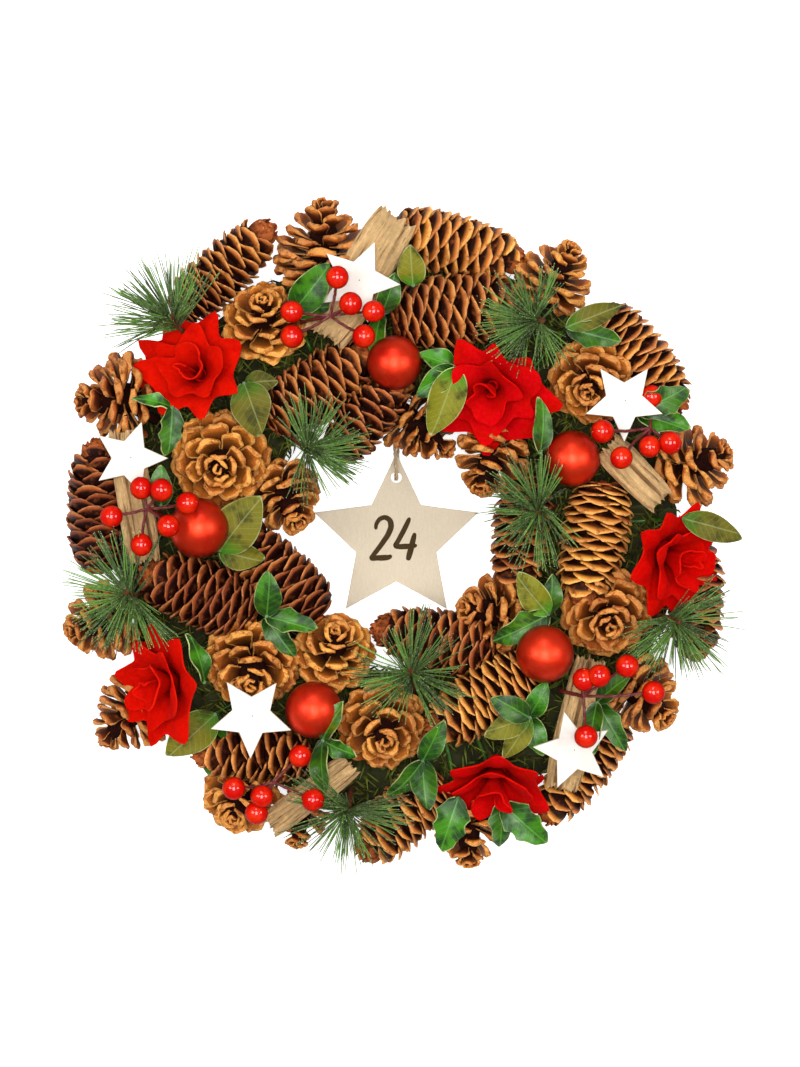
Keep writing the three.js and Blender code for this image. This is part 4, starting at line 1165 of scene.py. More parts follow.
def birch_finish(look):
    finish = Finish("Plain birch", Specular_IOR_Level=0.25)
    place = finish.carried("grain")
    grain = finish.fibres((12.0, 1.5, 3.0), 95.0)
    board = finish.overlaid(look.birch_grain, grain["Mask"], 0.8, look.birch)
    pores = finish.cloud(finish.stretched(place, (9.0, 1.2, 3.0)), 420.0, 2.0)
    pores = finish.between(pores, 0.6, 0.68, 0.0, 0.25)
    board = finish.blend(pores, board, shaded(look.birch_grain, 0.66))
    weave = finish.fibres((2.2, 0.8, 1.0), 900.0)
    board = finish.overlaid(board, weave["Mask"], 0.5, shaded(look.birch_grain, 0.86))
    # Painted shade: the board is darker towards the star's middle, to even out the stronger light there than
    # on its points
    reach = finish.node("ShaderNodeVectorMath", {0: place}, operation="LENGTH")["Value"]
    centre = finish.between(reach, 0.008, 0.036, 0.16, 0.0)
    board = finish.blend(centre, board, shaded(look.birch_grain, 0.5))
    edge = finish.between(finish.carried("rim"), 0.5, 0.9, 0.0, 0.4)
    return finish.done(
        finish.blend(edge, board, shaded(look.cut_edge, 0.8)), grain["Height"], 0.05, 0.5,
        rough=(grain["Mask"], 0.8, 0.66),
    )


def driftwood_finish(look):
    finish = Finish("Driftwood", Specular_IOR_Level=0.2)
    fibres = finish.fibres((1.0, 11.0, 11.0), 42.0)
    fine = finish.fibres((1.0, 16.0, 16.0), 120.0)
    middle = tuple(0.35 * dark + 0.65 * pale for dark, pale in zip(look.dark, look.pale))
    wood = finish.blend(fibres["Mask"], middle, look.pale)
    wood = finish.overlaid(wood, fine["Cracks"], 0.75, look.dark)
    wood = finish.overlaid(wood, fibres["Cracks"], 0.85, look.dark)
    hollow = finish.between(finish.carried("tone"), 0.18, 0.42, 0.75, 0.0)
    wood = finish.blend(hollow, wood, look.dark)
    weather = finish.mottled(wood, shaded(look.pale, 0.74), 46.0, 0.25, 0.12)
    height = finish.plus(fibres["Height"], finish.times(fine["Height"], 0.5))
    return finish.done(weather["Color"], height, 0.7, 0.9, rough=(fibres["Mask"], 0.92, 0.74))


def needle_finish(look):
    finish = Finish("Pine needle", Specular_IOR_Level=0.15)
    tuft = finish.blend(finish.carried("tone"), look.blue, look.green)
    # Painted shade: each needle darkens towards its root, in the crowded core of the tuft
    length = finish.rooted(
        (shaded(look.green, 0.35), tuft, tuft, look.tip), (0.12, 0.7, 0.94), Rim=finish.carried("along"),
        Variation=0.9,
    )
    streak = finish.cloud(finish.carried("grain"), 900.0, 2.0)
    return finish.done(
        finish.blend(finish.between(streak, 0.45, 0.7, 0.0, 0.3), length, look.tip), streak, 0.05, 0.5,
        Roughness=finish.between(streak, 0.3, 0.7, 0.42, 0.62),
    )


def leaf_side(finish, colours, ranges, variation, patches, vein, vein_share, rough, relief):
    """One side of a leaf: its patches as (colour, scale, cover, specks), then its veins."""
    edged = finish.rooted(colours, ranges, Variation=variation)
    veins = leaf_veins(finish)
    blade = finish.mottled(edged, *patches)
    return finish.done(
        finish.overlaid(blade["Color"], veins, vein_share, vein), veins, relief, 0.6,
        rough=(blade["Mask"], *rough),
    )


def leaf_finish(look):
    finish = Finish("Leaf face", Specular_IOR_Level=0.4, Coat_Weight=0.08, Coat_Roughness=0.25)
    vein = tuple(min(value * 2.0 + 0.03, 1) for value in look.face)
    return leaf_side(
        finish, (look.shade, look.face, look.face, look.edge), (0.2, 0.8, 0.945), 0.4,
        (look.shade, 120.0, 0.42, 0.06), vein, 0.4, (0.34, 0.5), 0.25,
    )


def underleaf_finish(look):
    finish = Finish("Leaf underside", Specular_IOR_Level=0.25)
    return leaf_side(
        finish, (look.face, look.under, look.under, look.edge), (0.12, 0.8, 0.95), 0.35,
        (look.spots, 90.0, 0.34, 0.12), look.edge, 0.25, (0.62, 0.8), 0.3,
    )


def leaf_veins(finish):
    """A midrib along a leaf and side veins that run forward from it, from the leaf's own frame."""
    parts = finish.node("ShaderNodeSeparateXYZ", {0: finish.carried("grain")})
    off = finish.maths("ABSOLUTE", parts["Y"])
    rib = finish.between(off, 0.0002, 0.0006, 1.0, 0.0)
    run = finish.minus(parts["X"], finish.times(off, 0.8))
    side = finish.between(finish.maths("SINE", finish.times(run, 1750.0)), 0.8, 1.0, 0.0, 0.4)
    return finish.maths("MAXIMUM", rib, side)


def ribbon_finish(look):
    finish = Finish("Ring ribbon", Specular_IOR_Level=0.2)
    weave = finish.fuzz(1100.0)
    dusty = finish.mottled(look.colour, shaded(look.colour, 0.55), 60.0, 0.45, 0.2)
    edge = finish.between(finish.carried("along"), 0.86, 0.98, 0.0, 0.7)
    return finish.done(
        finish.blend(edge, dusty["Color"], shaded(look.colour, 2.2)), weave["Height"], 0.25, 0.7,
        rough=(weave["Mask"], 0.78, 0.92),
    )


def moss_finish(look):
    finish = Finish("Dry moss", Roughness=0.85, Specular_IOR_Level=0.15)
    colours = (shaded(look.moss, 0.3), look.moss, shaded(look.moss, 1.5), look.moss)
    strand = finish.rooted(colours, (0.3, 0.8, 0.95), Variation=0.9)
    streak = finish.cloud(finish.carried("grain"), 700.0, 2.0)
    dark = finish.between(streak, 0.45, 0.7, 0.0, 0.4)
    return finish.done(finish.blend(dark, strand, shaded(look.moss, 0.5)), streak, 0.1, 0.5)


def jute_finish(look):
    finish = Finish("Jute", Specular_IOR_Level=0.15)
    fibres = finish.fibres((6.0, 6.0, 1.0), 520.0)
    fuzz = finish.fuzz(2600.0)
    return finish.done(
        finish.blend(fibres["Mask"], look.dark, look.pale), finish.plus(fibres["Height"], fuzz["Height"]),
        0.18, 0.7, rough=(fuzz["Mask"], 0.84, 0.96),
    )


def floor_finish(look):
    finish = Finish("Pale floor", Roughness=0.9, Specular_IOR_Level=0.1, Emission_Color=(1, 1, 1))
    board = finish.mottled(look.floor_colour, shaded(look.floor_colour, 0.985), 6.0, 0.4, 0.0)
    seen = finish.node("ShaderNodeLightPath", {})["Is Camera Ray"]
    glow = finish.across(seen, look.floor_glow * 0.15, look.floor_glow)
    return finish.done(board["Color"], Emission_Strength=glow)


# Makers of the pieces


def make_stage(look):
    """The camera over the wreath's face, soft lights beside and in front of it, and the pale floor."""
    scene = bpy.context.scene
    scene.view_settings.view_transform = "Standard"
    lens = bpy.data.cameras.new("camera")
    for name, value in CAMERA.items():
        setattr(lens, name, value)
    camera = bpy.data.objects.new("camera", lens)
    camera.location = CAMERA_PLACE
    scene.collection.objects.link(camera)
    scene.camera = camera

    for name, (place, size, share) in SOFT_LIGHTS.items():
        lamp = bpy.data.lights.new(name, "AREA")
        lamp.shape = "RECTANGLE"
        lamp.size = size
        lamp.size_y = size * SOFT_LIGHT_SHAPE
        lamp.energy = look.key_power * share
        made = bpy.data.objects.new(name, lamp)
        made.location = place
        made.rotation_mode = "QUATERNION"
        made.rotation_quaternion = (-Vector(place)).to_track_quat("-Z", "Y")
        scene.collection.objects.link(made)

    scene.world = bpy.data.worlds.new("even_light")
    scene.world.use_nodes = True
    graph = Graph(scene.world.node_tree)
    backdrop = graph.tree.nodes["Background"].inputs
    graph.wire_up(backdrop["Color"], (1, 1, 1))
    seen = graph.node("ShaderNodeLightPath", {})["Is Camera Ray"]
    graph.wire_up(backdrop["Strength"], graph.maths("MAXIMUM", seen, look.ambient))

    floor = PieceMesh()
    sides = (-FLOOR_HALF, -FLOOR_HALF / 3, FLOOR_HALF / 3, FLOOR_HALF)
    floor.add_skin([[floor.add_point(Vector((x, y, FLOOR_HEIGHT))) for x in sides] for y in sides])
    floor.finish_object("pale_floor", [floor_finish(look)])


def make_twine(look):
    """A two strand jute twine from the ring, through the star's hole and back to the ring."""
    x = NUMBER_STAR["x"]
    hole = NUMBER_STAR["y"] + NUMBER_STAR["radius"] - NUMBER_STAR["hole_from_tip"]
    ring, back = TWINE_ROUTE_TOP, TWINE_BACK
    corners = (
        (x - 1.3, ring, 12), (x - 1.3, ring - 8, 11.2), (x - 1.2, hole + 22, 10), (x - 0.6, hole + 10, 9.2),
        (x, hole + 4, 8.6), (x, hole - 0.4, 6.4), (x, hole - 0.6, 2.6), (x, hole + 3.4, back),
        (x + 0.6, hole + 10, back), (x + 1.2, hole + 22, 3.5), (x + 1.3, ring - 8, 7.4), (x + 1.3, ring, 8.4),
    )
    route = smooth_route(corners, 14)
    walked = [0.0]
    for a, b in zip(route, route[1:]):
        walked.append(walked[-1] + (b - a).length)
    radius = look.thickness / MM / 2
    lay = look.lay_length / MM
    strand = radius * TWINE_STRAND
    mesh = PieceMesh()
    frames = carried_frames(route)
    twist = 360 * walked[-1] / (lay * TWINE_YARN_LAY)
    for start in (0.0, math.pi):
        path = []
        for place, length, (_, side, other) in zip(route, walked, frames):
            path.append(place + spun(side, other, start + 2 * math.pi * length / lay) * (radius - strand))
        mesh.add_tube(path, strand, 10, twist=twist, ridge=0.08)
    dice = random.Random(60)
    for _ in range(look.stray_fibres):
        at = dice.randrange(2, len(route) - 2)
        tangent, side, other = frames[at]
        out = spun(side, other, dice.uniform(0, 2 * math.pi))
        run = tangent * dice.uniform(-1.6, 1.6)
        start = route[at] + out * radius * 0.8
        bend = start + run + out * dice.uniform(0.2, 0.7)
        mesh.add_tube([start, bend, bend + run * 0.7 + out * dice.uniform(-0.2, 0.9)], STRAY_FIBRE, 3)
    made = mesh.hand_over("jute_loop", [jute_finish(look)], 70, "twine", "twine_loop")
    tuple(v * MM for v in corners[0])


def ring_outline():
    """Radius and height of points every 5 mm or so round the ring's section."""
    section = (
        (RING_INNER, 1.5), (RING_INNER, RING_HEIGHT - RING_BEVEL), (RING_INNER + RING_BEVEL, RING_HEIGHT),
        (RING_OUTER - RING_BEVEL, RING_HEIGHT), (RING_OUTER, RING_HEIGHT - RING_BEVEL), (RING_OUTER, 1.5),
        (RING_OUTER - 1.5, 0), (RING_INNER + 1.5, 0),
    )
    outline = []
    for (r0, z0), (r1, z1) in zip(section, section[1:] + section[:1]):
        parts = max(2, round(math.hypot(r1 - r0, z1 - z0) / 5))
        for part in range(parts):
            t = part / parts
            outline.append((r0 + (r1 - r0) * t, z0 + (z1 - z0) * t))
    return outline


def add_moss_strand(mesh, dice):
    """A strand that rises from the ribbon and bends over, kept close to the ring's sides."""
    r = dice.uniform(RING_INNER - 5, RING_OUTER + 5)
    out = around(dice.uniform(0, 2 * math.pi), 1)
    height = RING_HEIGHT - 1.5 - max(abs(r - RING_MIDDLE) - 30, 0) * 0.9
    start = out * min(max(r, RING_INNER + 0.6), RING_OUTER - 0.6) + UP * height
    run = around(dice.uniform(0, 2 * math.pi), 1) * dice.uniform(3, 8)
    bend = start + run * 0.6 + UP * dice.uniform(1.5, 6.5)
    tip = bend + run + UP * dice.uniform(-3, 2)
    for point in (bend, tip):
        reach = math.hypot(point.x, point.y)
        spill = max(reach - RING_OUTER - 1, RING_INNER - 1 - reach, 0)
        kept = min(max(reach, RING_INNER - 3), RING_OUTER + 3)
        point.x *= kept / reach
        point.y *= kept / reach
        point.z = max(point.z - 3.5 * spill, 0.6)
    mesh.add_tube([start, bend, tip], MOSS_STRAND, 3, dice.random(), MOSS)


def make_ring(look):
    """A ring wound with overlapping turns of ribbon, flat at the back, with dry moss caught in it."""
    outline = ring_outline()
    turns = round(2 * math.pi * RING_MIDDLE / (look.ribbon_width / MM))
    stations = turns * 8
    step = look.ribbon_step / MM
    mesh = PieceMesh()
    rows = []
    for station in range(stations):
        angle = 2 * math.pi * station / stations
        rows.append([])
        for corner, (r, z) in enumerate(outline):
            across = (station * turns / stations + corner / len(outline)) % 1.0
            sink = step * (1 - across) + 0.15 * noise.noise(Vector((station * 0.21, corner * 0.3, 4.0)))
            reach = RING_MIDDLE + (r - RING_MIDDLE) * (1 - sink / 38)
            place = around(angle, reach, max(z * (1 - sink / 20), 0.0))
            rows[-1].append(mesh.add_point(place, along=across))
    mesh.add_skin([*rows, rows[0]], closed=True, flip=True)
    dice = random.Random(40)
    for _ in range(look.moss_strands):
        add_moss_strand(mesh, dice)
    mesh.hand_over("ribbon_wound_ring", [ribbon_finish(look), moss_finish(look)], 40, "binding", "base_ring")


def add_spruce_scale(mesh, seat, cone, along, azimuth, tint, dice):
    """A thin scale that curves up from the heart and ends in a rounded lip. The tip's scales are stubs."""
    length, width, opening = cone[6:9]
    share = share_of(SPRUCE_OUTLINE, along) * (1 - 12 * max(0.0, along - 1))
    lip_radius = share * width / 2 + dice.uniform(-0.5, 0.4)
    lip_height = (along - 0.5) * length
    size = (0.62 + 0.38 * share) * dice.uniform(0.9, 1.1) * (width / 36) ** 0.4
    slope = share_of(SPRUCE_OPENING, along) * opening - 8 + dice.uniform(-5, 5)
    blade_length = 15.5 * size
    hug = max(lip_radius * 0.9, 2.4)
    half_width = min(10.2 * size, hug * 1.2)
    lip_thickness = 1.4 - 0.018 * opening
    bulge = dice.uniform(0.2, 0.8)
    flare = dice.uniform(-0.4, 0.5)
    skew = dice.uniform(-0.8, 0.8)
    sweep = dice.uniform(-0.6, 0.6)
    ragged = [dice.uniform(-0.055, 0.045) * opening / 34 for _ in SPRUCE_COLUMNS]
    ruffle = [dice.uniform(-0.45, 0.45) for _ in SPRUCE_COLUMNS]
    grid = []
    for station, wide in SPRUCE_STATIONS:
        grid.append([])
        for u, torn, wavy in zip(SPRUCE_COLUMNS, ragged, ruffle):
            s = station * (1 - 0.26 * abs(u) ** 2.0 * station) + torn * station ** 4
            back = (1 - s) * blade_length
            turn = math.radians(slope + 38 * (1 - s))
            radius = lip_radius - back * math.sin(turn) + bulge * math.sin(math.pi * s)
            radius += flare * max(0.0, s - 0.8) / 0.2 + wavy * station ** 3
            height = lip_height - back * math.cos(turn) + skew * u * s
            off = (u * half_width * wide + sweep * s) / hug
            inward = max(radius, 1.2) - 0.8 * hug * (1 - math.cos(off))
            thickness = lip_thickness * (1 - 0.2 * u * u * station) + 0.5 * (1 - s)
            grid[-1].append((Vector((inward, hug * math.sin(off), height)), thickness))
    place = seat @ Matrix.Rotation(azimuth, 4, "Z")
    mesh.add_blade(grid, place, tint + dice.uniform(-0.22, 0.22), SCALE if 0.05 < along < 1 else STUB)


def add_spruce_cone(mesh, cone, look, dice):
    _, x, y, z, heading, tilt, length, width, _, light = cone
    seat = standing((x, y, z), heading, tilt, dice.uniform(0, 360))
    # The heart is a core of painted shade that fills the cone between its scales
    heart = [(share * width * 0.33, (along - 0.52) * length) for along, share in SPRUCE_OUTLINE[1:-1]]
    mesh.add_turned([(0, -0.49 * length), *heart, (0, 0.46 * length)], 18, seat, 0.2, HEART)
    stub = [(share * width, (along - 0.5) * length) for along, share in BASE_STUB]
    mesh.add_turned(stub, 18, seat, 0.5, STUB)
    count = round(0.86 * math.pi * width * length / look.spruce_scale_area)
    for i, along in enumerate(even_places(SPRUCE_OUTLINE, count)):
        azimuth = math.radians(i * GOLDEN_ANGLE + dice.uniform(-6, 6))
        add_spruce_scale(mesh, seat, cone, along, azimuth, light + 0.2 * (along - 0.5), dice)
    for along, number in SPRUCE_TIP_RINGS:
        for i in range(number):
            azimuth = math.radians(i * 360 / number + along * 2000 + dice.uniform(-14, 14))
            add_spruce_scale(mesh, seat, cone, along, azimuth, light, dice)


def add_pine_scale(mesh, seat, cone, along, share, azimuth, tint, dice):
    """A stalked scale that stands out from the heart and ends in a broad thick shield."""
    length, width, opening = cone[6:9]
    tip_radius = share * width / 2
    tip_height = (along - 0.5) * length
    spread = share_of(PINE_OPENING, along) * opening + dice.uniform(-9, 9)
    lean = math.radians(spread)
    size = (0.6 + 0.4 * share) * dice.uniform(0.88, 1.12) * (width / 48) ** 0.5
    reach = min(max(tip_radius - 1.5, 4) / max(math.sin(lean), 0.45), 26)
    half_width = min(6.9 * size, 1.5 + 0.44 * tip_radius)
    end_thick = min(3.9 * size * opening, 0.55 * half_width + 0.6)
    lift = dice.uniform(0.6, 2.4)
    curl = dice.uniform(10, 40)
    ruffle = dice.uniform(0.2, 0.8)
    phase = dice.uniform(0, 6.28)
    nicks = [dice.uniform(-0.05, 0.04) for _ in PINE_COLUMNS]
    sway = dice.uniform(-0.9, 0.9)
    grid = []
    for station, wide, deep in PINE_STATIONS:
        grid.append([])
        for u, nick in zip(PINE_COLUMNS, nicks):
            s = station * (1 - 0.12 * abs(u) ** 1.8 * station) + nick * station ** 5
            back = (1 - s) * reach
            turn = math.radians(spread + curl * (0.5 - s) * 0.5)
            cup = lift * (u * u) * s + ruffle * s * s * math.sin(3.4 * u + phase)
            radius = max(tip_radius - back * math.sin(turn), 0.6) - cup * math.cos(lean)
            height = tip_height - back * math.cos(turn) + cup * math.sin(lean)
            thickness = max(end_thick * deep * (1 - 0.5 * u * u), 0.5)
            grid[-1].append((Vector((radius, u * half_width * wide + sway * s, height)), thickness))
    place = seat @ Matrix.Rotation(azimuth, 4, "Z")
    mesh.add_blade(grid, place, tint + dice.uniform(-0.25, 0.25), SCALE_BACK, SCALE_FACE)


def add_pine_cone(mesh, cone, look, dice):
    _, x, y, z, heading, tilt, length, width, opening, light = cone
    seat = standing((x, y, z), heading, tilt, dice.uniform(0, 360))
    mesh.add_turned([(share * width, along * length) for share, along in PINE_HEART], 16, seat, 0.2, HEART)
    count = round(0.74 * math.pi * width * length / (look.pine_scale_area * opening))
    for i, along in enumerate(even_places(PINE_OUTLINE, count)):
        azimuth = math.radians(i * GOLDEN_ANGLE + dice.uniform(-9, 9))
        add_pine_scale(mesh, seat, cone, along, share_of(PINE_OUTLINE, along), azimuth, light, dice)
    for i, (along, share) in enumerate(PINE_TIP_SCALES, count):
        azimuth = math.radians(i * GOLDEN_ANGLE + dice.uniform(-25, 25))
        add_pine_scale(mesh, seat, cone, along, share, azimuth, light, dice)


def make_cones(look):
    """Spruce cones with close thin scales and pine cones with open woody ones, in their wired groups."""
    dark, light = shaded(look.pine_colour, 0.6), shaded(look.pine_colour, 0.9)
    finishes = [
        spruce_finish(look),
        pine_finish(look, "Pine scale back", look.pine_back, look.pine_colour, 0.78, 0.9),
        pine_finish(look, "Pine scale face", dark, light, 0.58, 0.82),
        heart_finish(look),
        stub_finish(look),
    ]
    for _, cones, mesh, dice in like_pieces(CONES, "cone", "scaled_cone", finishes, 55, "cone", 100):
        _, x, y, z = cones[0][:4]
        mesh.add_tube([on_ring_top(x, y), Vector((x, y, z))], 2.6, 10, 0.4, HEART)
        for cone in cones:
            (add_spruce_cone if cone[0] == S else add_pine_cone)(mesh, cone, look, dice)


def felt_strip(q, cusps, first, radius, seed, off_centre):
    """The points from root to rim of a rose's felt, at a share q of the way from its middle outward."""
    angle = first + 2 * math.pi * FELT_TURNS * q
    sway = noise.noise(around(angle, 1.1, 0.9 * q) + seed)
    cusp = (cusps * (0.42 * q + 0.58 * q * q) + 0.4 * sway) % 1.0
    hollow = (0.5 - 0.5 * math.cos(2 * math.pi * cusp)) ** 0.7 * min(1.0, 3 * q)
    opened = min(1.0, 2.5 * q)
    lean = 5 + 76 * q ** 0.85 + 15 * sway
    reach = radius * (0.72 + 0.48 * q ** 0.8) * (1 - 0.3 * hollow) * (1 + 0.14 * sway)
    reach *= min(1.0, 0.8 + 4 * q) * min(1.0, 0.6 + 6 * (1 - q))
    curl = (14 + 14 * (1 - hollow) - 22 * hollow * q) * opened - 16 * (1 - opened)
    base = off_centre * (1 - q)
    out, up = 1.2 + 5.2 * q, 5.0 * (1 - q)
    strip = [base + around(angle, out, up)]
    for row in range(1, FELT_ROWS):
        t = row / (FELT_ROWS - 1)
        bend = math.radians(lean * (0.42 + 0.66 * t) + curl * max(0.0, t - 0.6) / 0.4)
        out = max(out + reach / (FELT_ROWS - 1) * math.sin(bend), 0.6)
        up += reach / (FELT_ROWS - 1) * math.cos(bend)
        strip.append(base + around(angle, out, up))
    return strip


def make_roses(look):
    """Felt roses, each wound outward from one strip with a rim of blunt points, on a padded foot."""
    thick = look.felt_thickness / MM
    roses = like_pieces(ROSES, "rose", "felt_rose", [felt_finish(look)], 60, "petal", 300)
    for index, (x, y, z, heading, tilt, radius), mesh, dice in roses:
        seat = standing((x, y, z), heading, tilt, 25 * index)
        foot = [on_ring_top(x, y), Vector((x, y, z)), seat @ Vector((0, 0, 4))]
        mesh.add_tube(foot, [4.5, 5.5, 5.0], 14, 0.2)
        cusps = FELT_TURNS * dice.uniform(5.4, 6.0)
        first = dice.uniform(0, 2 * math.pi)
        seed = Vector((dice.uniform(0, 50), dice.uniform(0, 50), 0))
        off_centre = Vector((dice.uniform(-3, 3), dice.uniform(-3, 3), 0))
        sheet = [
            felt_strip(column / FELT_COLUMNS, cusps, first, radius, seed, off_centre)
            for column in range(FELT_COLUMNS + 1)
        ]
        grid = [[(strip[row], thick) for strip in sheet] for row in range(FELT_ROWS)]
        mesh.add_blade(grid, seat, dice.random())


def ball_outline(radius, rings):
    """Angle, radius and height of points on a ball from its lower pole to its upper one."""
    for ring in range(rings + 1):
        angle = math.pi * ring / rings - math.pi / 2
        yield ring, radius * math.cos(angle), radius * math.sin(angle)


def make_baubles(look):
    """Satin baubles with a fine seam, a metal cap below and the pick that each stands on."""
    finishes = [lacquer_finish(look), metal_finish(look)]
    baubles = like_pieces(BAUBLES, "bauble", "satin_bauble", finishes, 60, "bauble")
    for index, (x, y, z, radius), mesh, _ in baubles:
        foot = on_ring_top(x, y)
        seat = aimed((x, y, z), (Vector((x, y, z)) - foot).normalized())
        outline = []
        for ring, out, height in ball_outline(radius, BAUBLE_RINGS):
            seam = 1 + 0.006 * math.exp(-((ring - BAUBLE_RINGS / 2) / 0.7) ** 2)
            outline.append((out * seam, height * seam))
        tipped = seat @ Matrix.Rotation(math.radians(78), 4, around(index, 1))
        mesh.add_turned(outline, 56, tipped)
        mesh.add_turned([(r, height - radius) for r, height in BAUBLE_CAP], 24, seat, 0.5, METAL)
        mesh.add_tube([foot, seat @ Vector((0, 0, -radius))], 0.8, 8, 0.5, METAL)


def make_berries(look):
    """Sprays of glossy berries on wrapped stalks that part at a fork."""
    finishes = [berry_finish(look), stalk_finish(look)]
    size = look.radius / MM
    half = look.stalk / MM / 2
    sprays = like_pieces(BERRY_SPRAYS, "berries", "glossy_berries", finishes, 60, "berry", 500)
    for _, ((x, y), fork, berries), mesh, dice in sprays:
        stem = smooth_route([(x, y, RING_HEIGHT - 2), (x, y, fork[2] - 14), fork], 8)
        mesh.add_tube(stem, half * 1.3, 10, 0.4, STALK, twist=900, ridge=0.12)
        for berry in berries:
            start, end = Vector(fork), Vector(berry)
            reach = (end - start).normalized()
            sag = Vector((dice.uniform(-1, 1), dice.uniform(-1, 1), -1.5))
            stalk = smooth_route([start, (start + end) / 2 + sag, end - reach * (size - 1)], 6)
            mesh.add_tube(stalk, half, 8, 0.4, STALK, twist=500, ridge=0.12)
            round_off = dice.uniform(0.94, 1.03)
            outline = [(out * round_off, height) for _, out, height in ball_outline(size, BERRY_RINGS)]
            outline[-1:] = [(0.5, size * 0.975), (0.35, size * 1.03), (0, size * 1.035)]
            mesh.add_turned(outline, 32, aimed(end, reach), dice.random())


def star_corners(radius, notch, point):
    """The ten corners of a star, from the point at an angle in degrees."""
    return [
        around(math.radians(point + corner * 36), radius * notch if corner % 2 else radius).xy
        for corner in range(10)
    ]


def inset(corners, distance):
    """The corners of an outline moved inward."""
    moved = []
    for before, here, after in zip([corners[-1], *corners], corners, [*corners[1:], corners[0]]):
        left_before = (here - before).normalized().orthogonal()
        left_after = (after - here).normalized().orthogonal()
        bisector = (left_before + left_after).normalized()
        moved.append(here + bisector * distance / max(bisector.dot(left_before), 0.3))
    return moved


def split_sides(corners, parts):
    """Points along the sides of a closed outline, a number of equal parts to each side."""
    for here, after in zip(corners, [*corners[1:], corners[0]]):
        for part in range(parts):
            yield here + (after - here) * part / parts


def add_star(mesh, corners, rounding, seat):
    """A star plate with rounded edges."""
    low, high = rounding * 0.3, STAR_THICKNESS - rounding * 0.3
    steps = (
        (rounding, 0.0, 0.2), (low, low, 1.0), (0.0, rounding, 1.0), (0.0, STAR_THICKNESS - rounding, 1.0),
        (low, high, 1.0), (rounding, STAR_THICKNESS, 0.2), (rounding * 2.2, STAR_THICKNESS, 0.0),
    )
    rings = []
    for distance, height, rim in steps:
        rings.append([])
        for flat in split_sides(inset(corners, distance), 6):
            rings[-1].append(mesh.add_local(seat, Vector((*flat, height)), rim=rim))
    mesh.add_skin(rings, closed=True)
    for height, ring in ((0.0, rings[0][::-1]), (STAR_THICKNESS, rings[-1])):
        mesh.add_cap(mesh.add_local(seat, UP * height), ring)


def make_white_stars(look):
    """White painted stars of thin wood with softened edges and a pin mark in the middle."""
    finishes = [paint_finish(look), figure_finish(look)]
    rounding = look.edge_round / MM
    stars = like_pieces(WHITE_STARS, "star", "painted_star", finishes, 30, "white_paint")
    for _, (x, y, z, radius, point, lean, towards), mesh, _ in stars:
        seat = aimed((x, y, z), heading_vector(towards, 90 - lean))
        add_star(mesh, star_corners(radius, SMALL_STAR_NOTCH, point), rounding, seat)
        pin = [(r, STAR_THICKNESS + height) for r, height in STAR_PIN]
        mesh.add_turned(pin, 10, seat @ Matrix.Translation((0.6, 0.4, 0)), 0.5, FIGURES)


def number_star_seat():
    """The matrix of the plain star, which leans on its two low points and hangs by its top one."""
    star = NUMBER_STAR
    low_point = star["radius"] * math.cos(math.radians(36))
    slope = math.atan2(star["lift"], star["radius"] - star["hole_from_tip"] + low_point)
    return (
        Matrix.Translation((star["x"], star["y"] - low_point, 0.02))
        @ Matrix.Rotation(slope, 4, "X")
        @ Matrix.Translation((0, low_point, 0))
    )


def bevelled_plate(outlines, thickness, rounding):
    """The mesh of a plate with rounded edges between closed outlines in the plane."""
    curve = bpy.data.curves.new("plate_outline", "CURVE")
    curve.dimensions = "2D"
    curve.fill_mode = "BOTH"
    for points in outlines:
        spline = curve.splines.new("POLY")
        spline.points.add(len(points) - 1)
        for corner, point in zip(spline.points, points):
            corner.co = (point.x, point.y, 0, 1)
        spline.use_cyclic_u = True
    curve.extrude = thickness / 2 - rounding
    curve.bevel_depth = rounding
    curve.bevel_resolution = 3
    former = bpy.data.objects.new("plate_outline", curve)
    bpy.context.scene.collection.objects.link(former)
    plate = bpy.data.meshes.new_from_object(former.evaluated_get(bpy.context.evaluated_depsgraph_get()))
    bpy.data.objects.remove(former)
    return plate


def make_number_star(look):
    """The plain birch star with its hole and the brushed figures."""
    star = NUMBER_STAR
    rounding = look.edge_round / MM
    outer = list(split_sides(star_corners(star["radius"] - rounding, star["notch"], 90), 8))
    middle = Vector((0, star["radius"] - star["hole_from_tip"], 0))
    hole = [
        middle + around(-2 * math.pi * i / HOLE_SIDES, star["hole"] + rounding) for i in range(HOLE_SIDES)
    ]
    plate = bevelled_plate((outer, hole), STAR_THICKNESS, rounding)
    seat = number_star_seat()
    mesh = PieceMesh()
    for vertex in plate.vertices:
        local = vertex.co.copy()
        local.z += STAR_THICKNESS / 2
        edge = 1.0 if rounding * 0.2 < local.z < STAR_THICKNESS - rounding * 0.2 else 0.0
        mesh.add_local(seat, local, rim=edge)
    for face in plate.polygons:
        mesh.add_face(tuple(face.vertices))
    bpy.data.meshes.remove(plate)
    for stroke in FIGURE_STROKES:
        add_brush_stroke(mesh, stroke, seat)
    finishes = [birch_finish(look), figure_finish(look)]
    mesh.hand_over("plain_star", finishes, 30, "plain_wood", "number_star")


def add_brush_stroke(mesh, stroke, seat):
    """A stroke of paint a tenth of a millimetre thick, rounded at both ends."""
    route = smooth_route(stroke, 7)
    places = [Vector((p.x, p.y, 0)) for p in route]
    last = len(route) - 1
    walked = 0.0
    left, middle, right = [], [], []
    for i, p in enumerate(route):
        ahead = places[min(i + 1, last)] - places[max(i - 1, 0)]
        side = Vector((-ahead.y, ahead.x, 0)).normalized()
        if i:
            walked += (places[i] - places[i - 1]).length
        from_end = min(i, last - i) / 3
        half = p.z * (math.sqrt(max(0.0, 1 - (1 - min(from_end, 1.0)) ** 2)) * 0.85 + 0.15)
        for row, offset, lift in ((left, half, 0.01), (middle, 0.0, 0.14), (right, -half, 0.01)):
            point = places[i] + side * offset + UP * (STAR_THICKNESS + lift)
            row.append(mesh.add_point(seat @ point, 0.5, 0.5, 0.0, Vector((offset, 0, walked))))
    mesh.add_skin([left, middle, right], FIGURES)


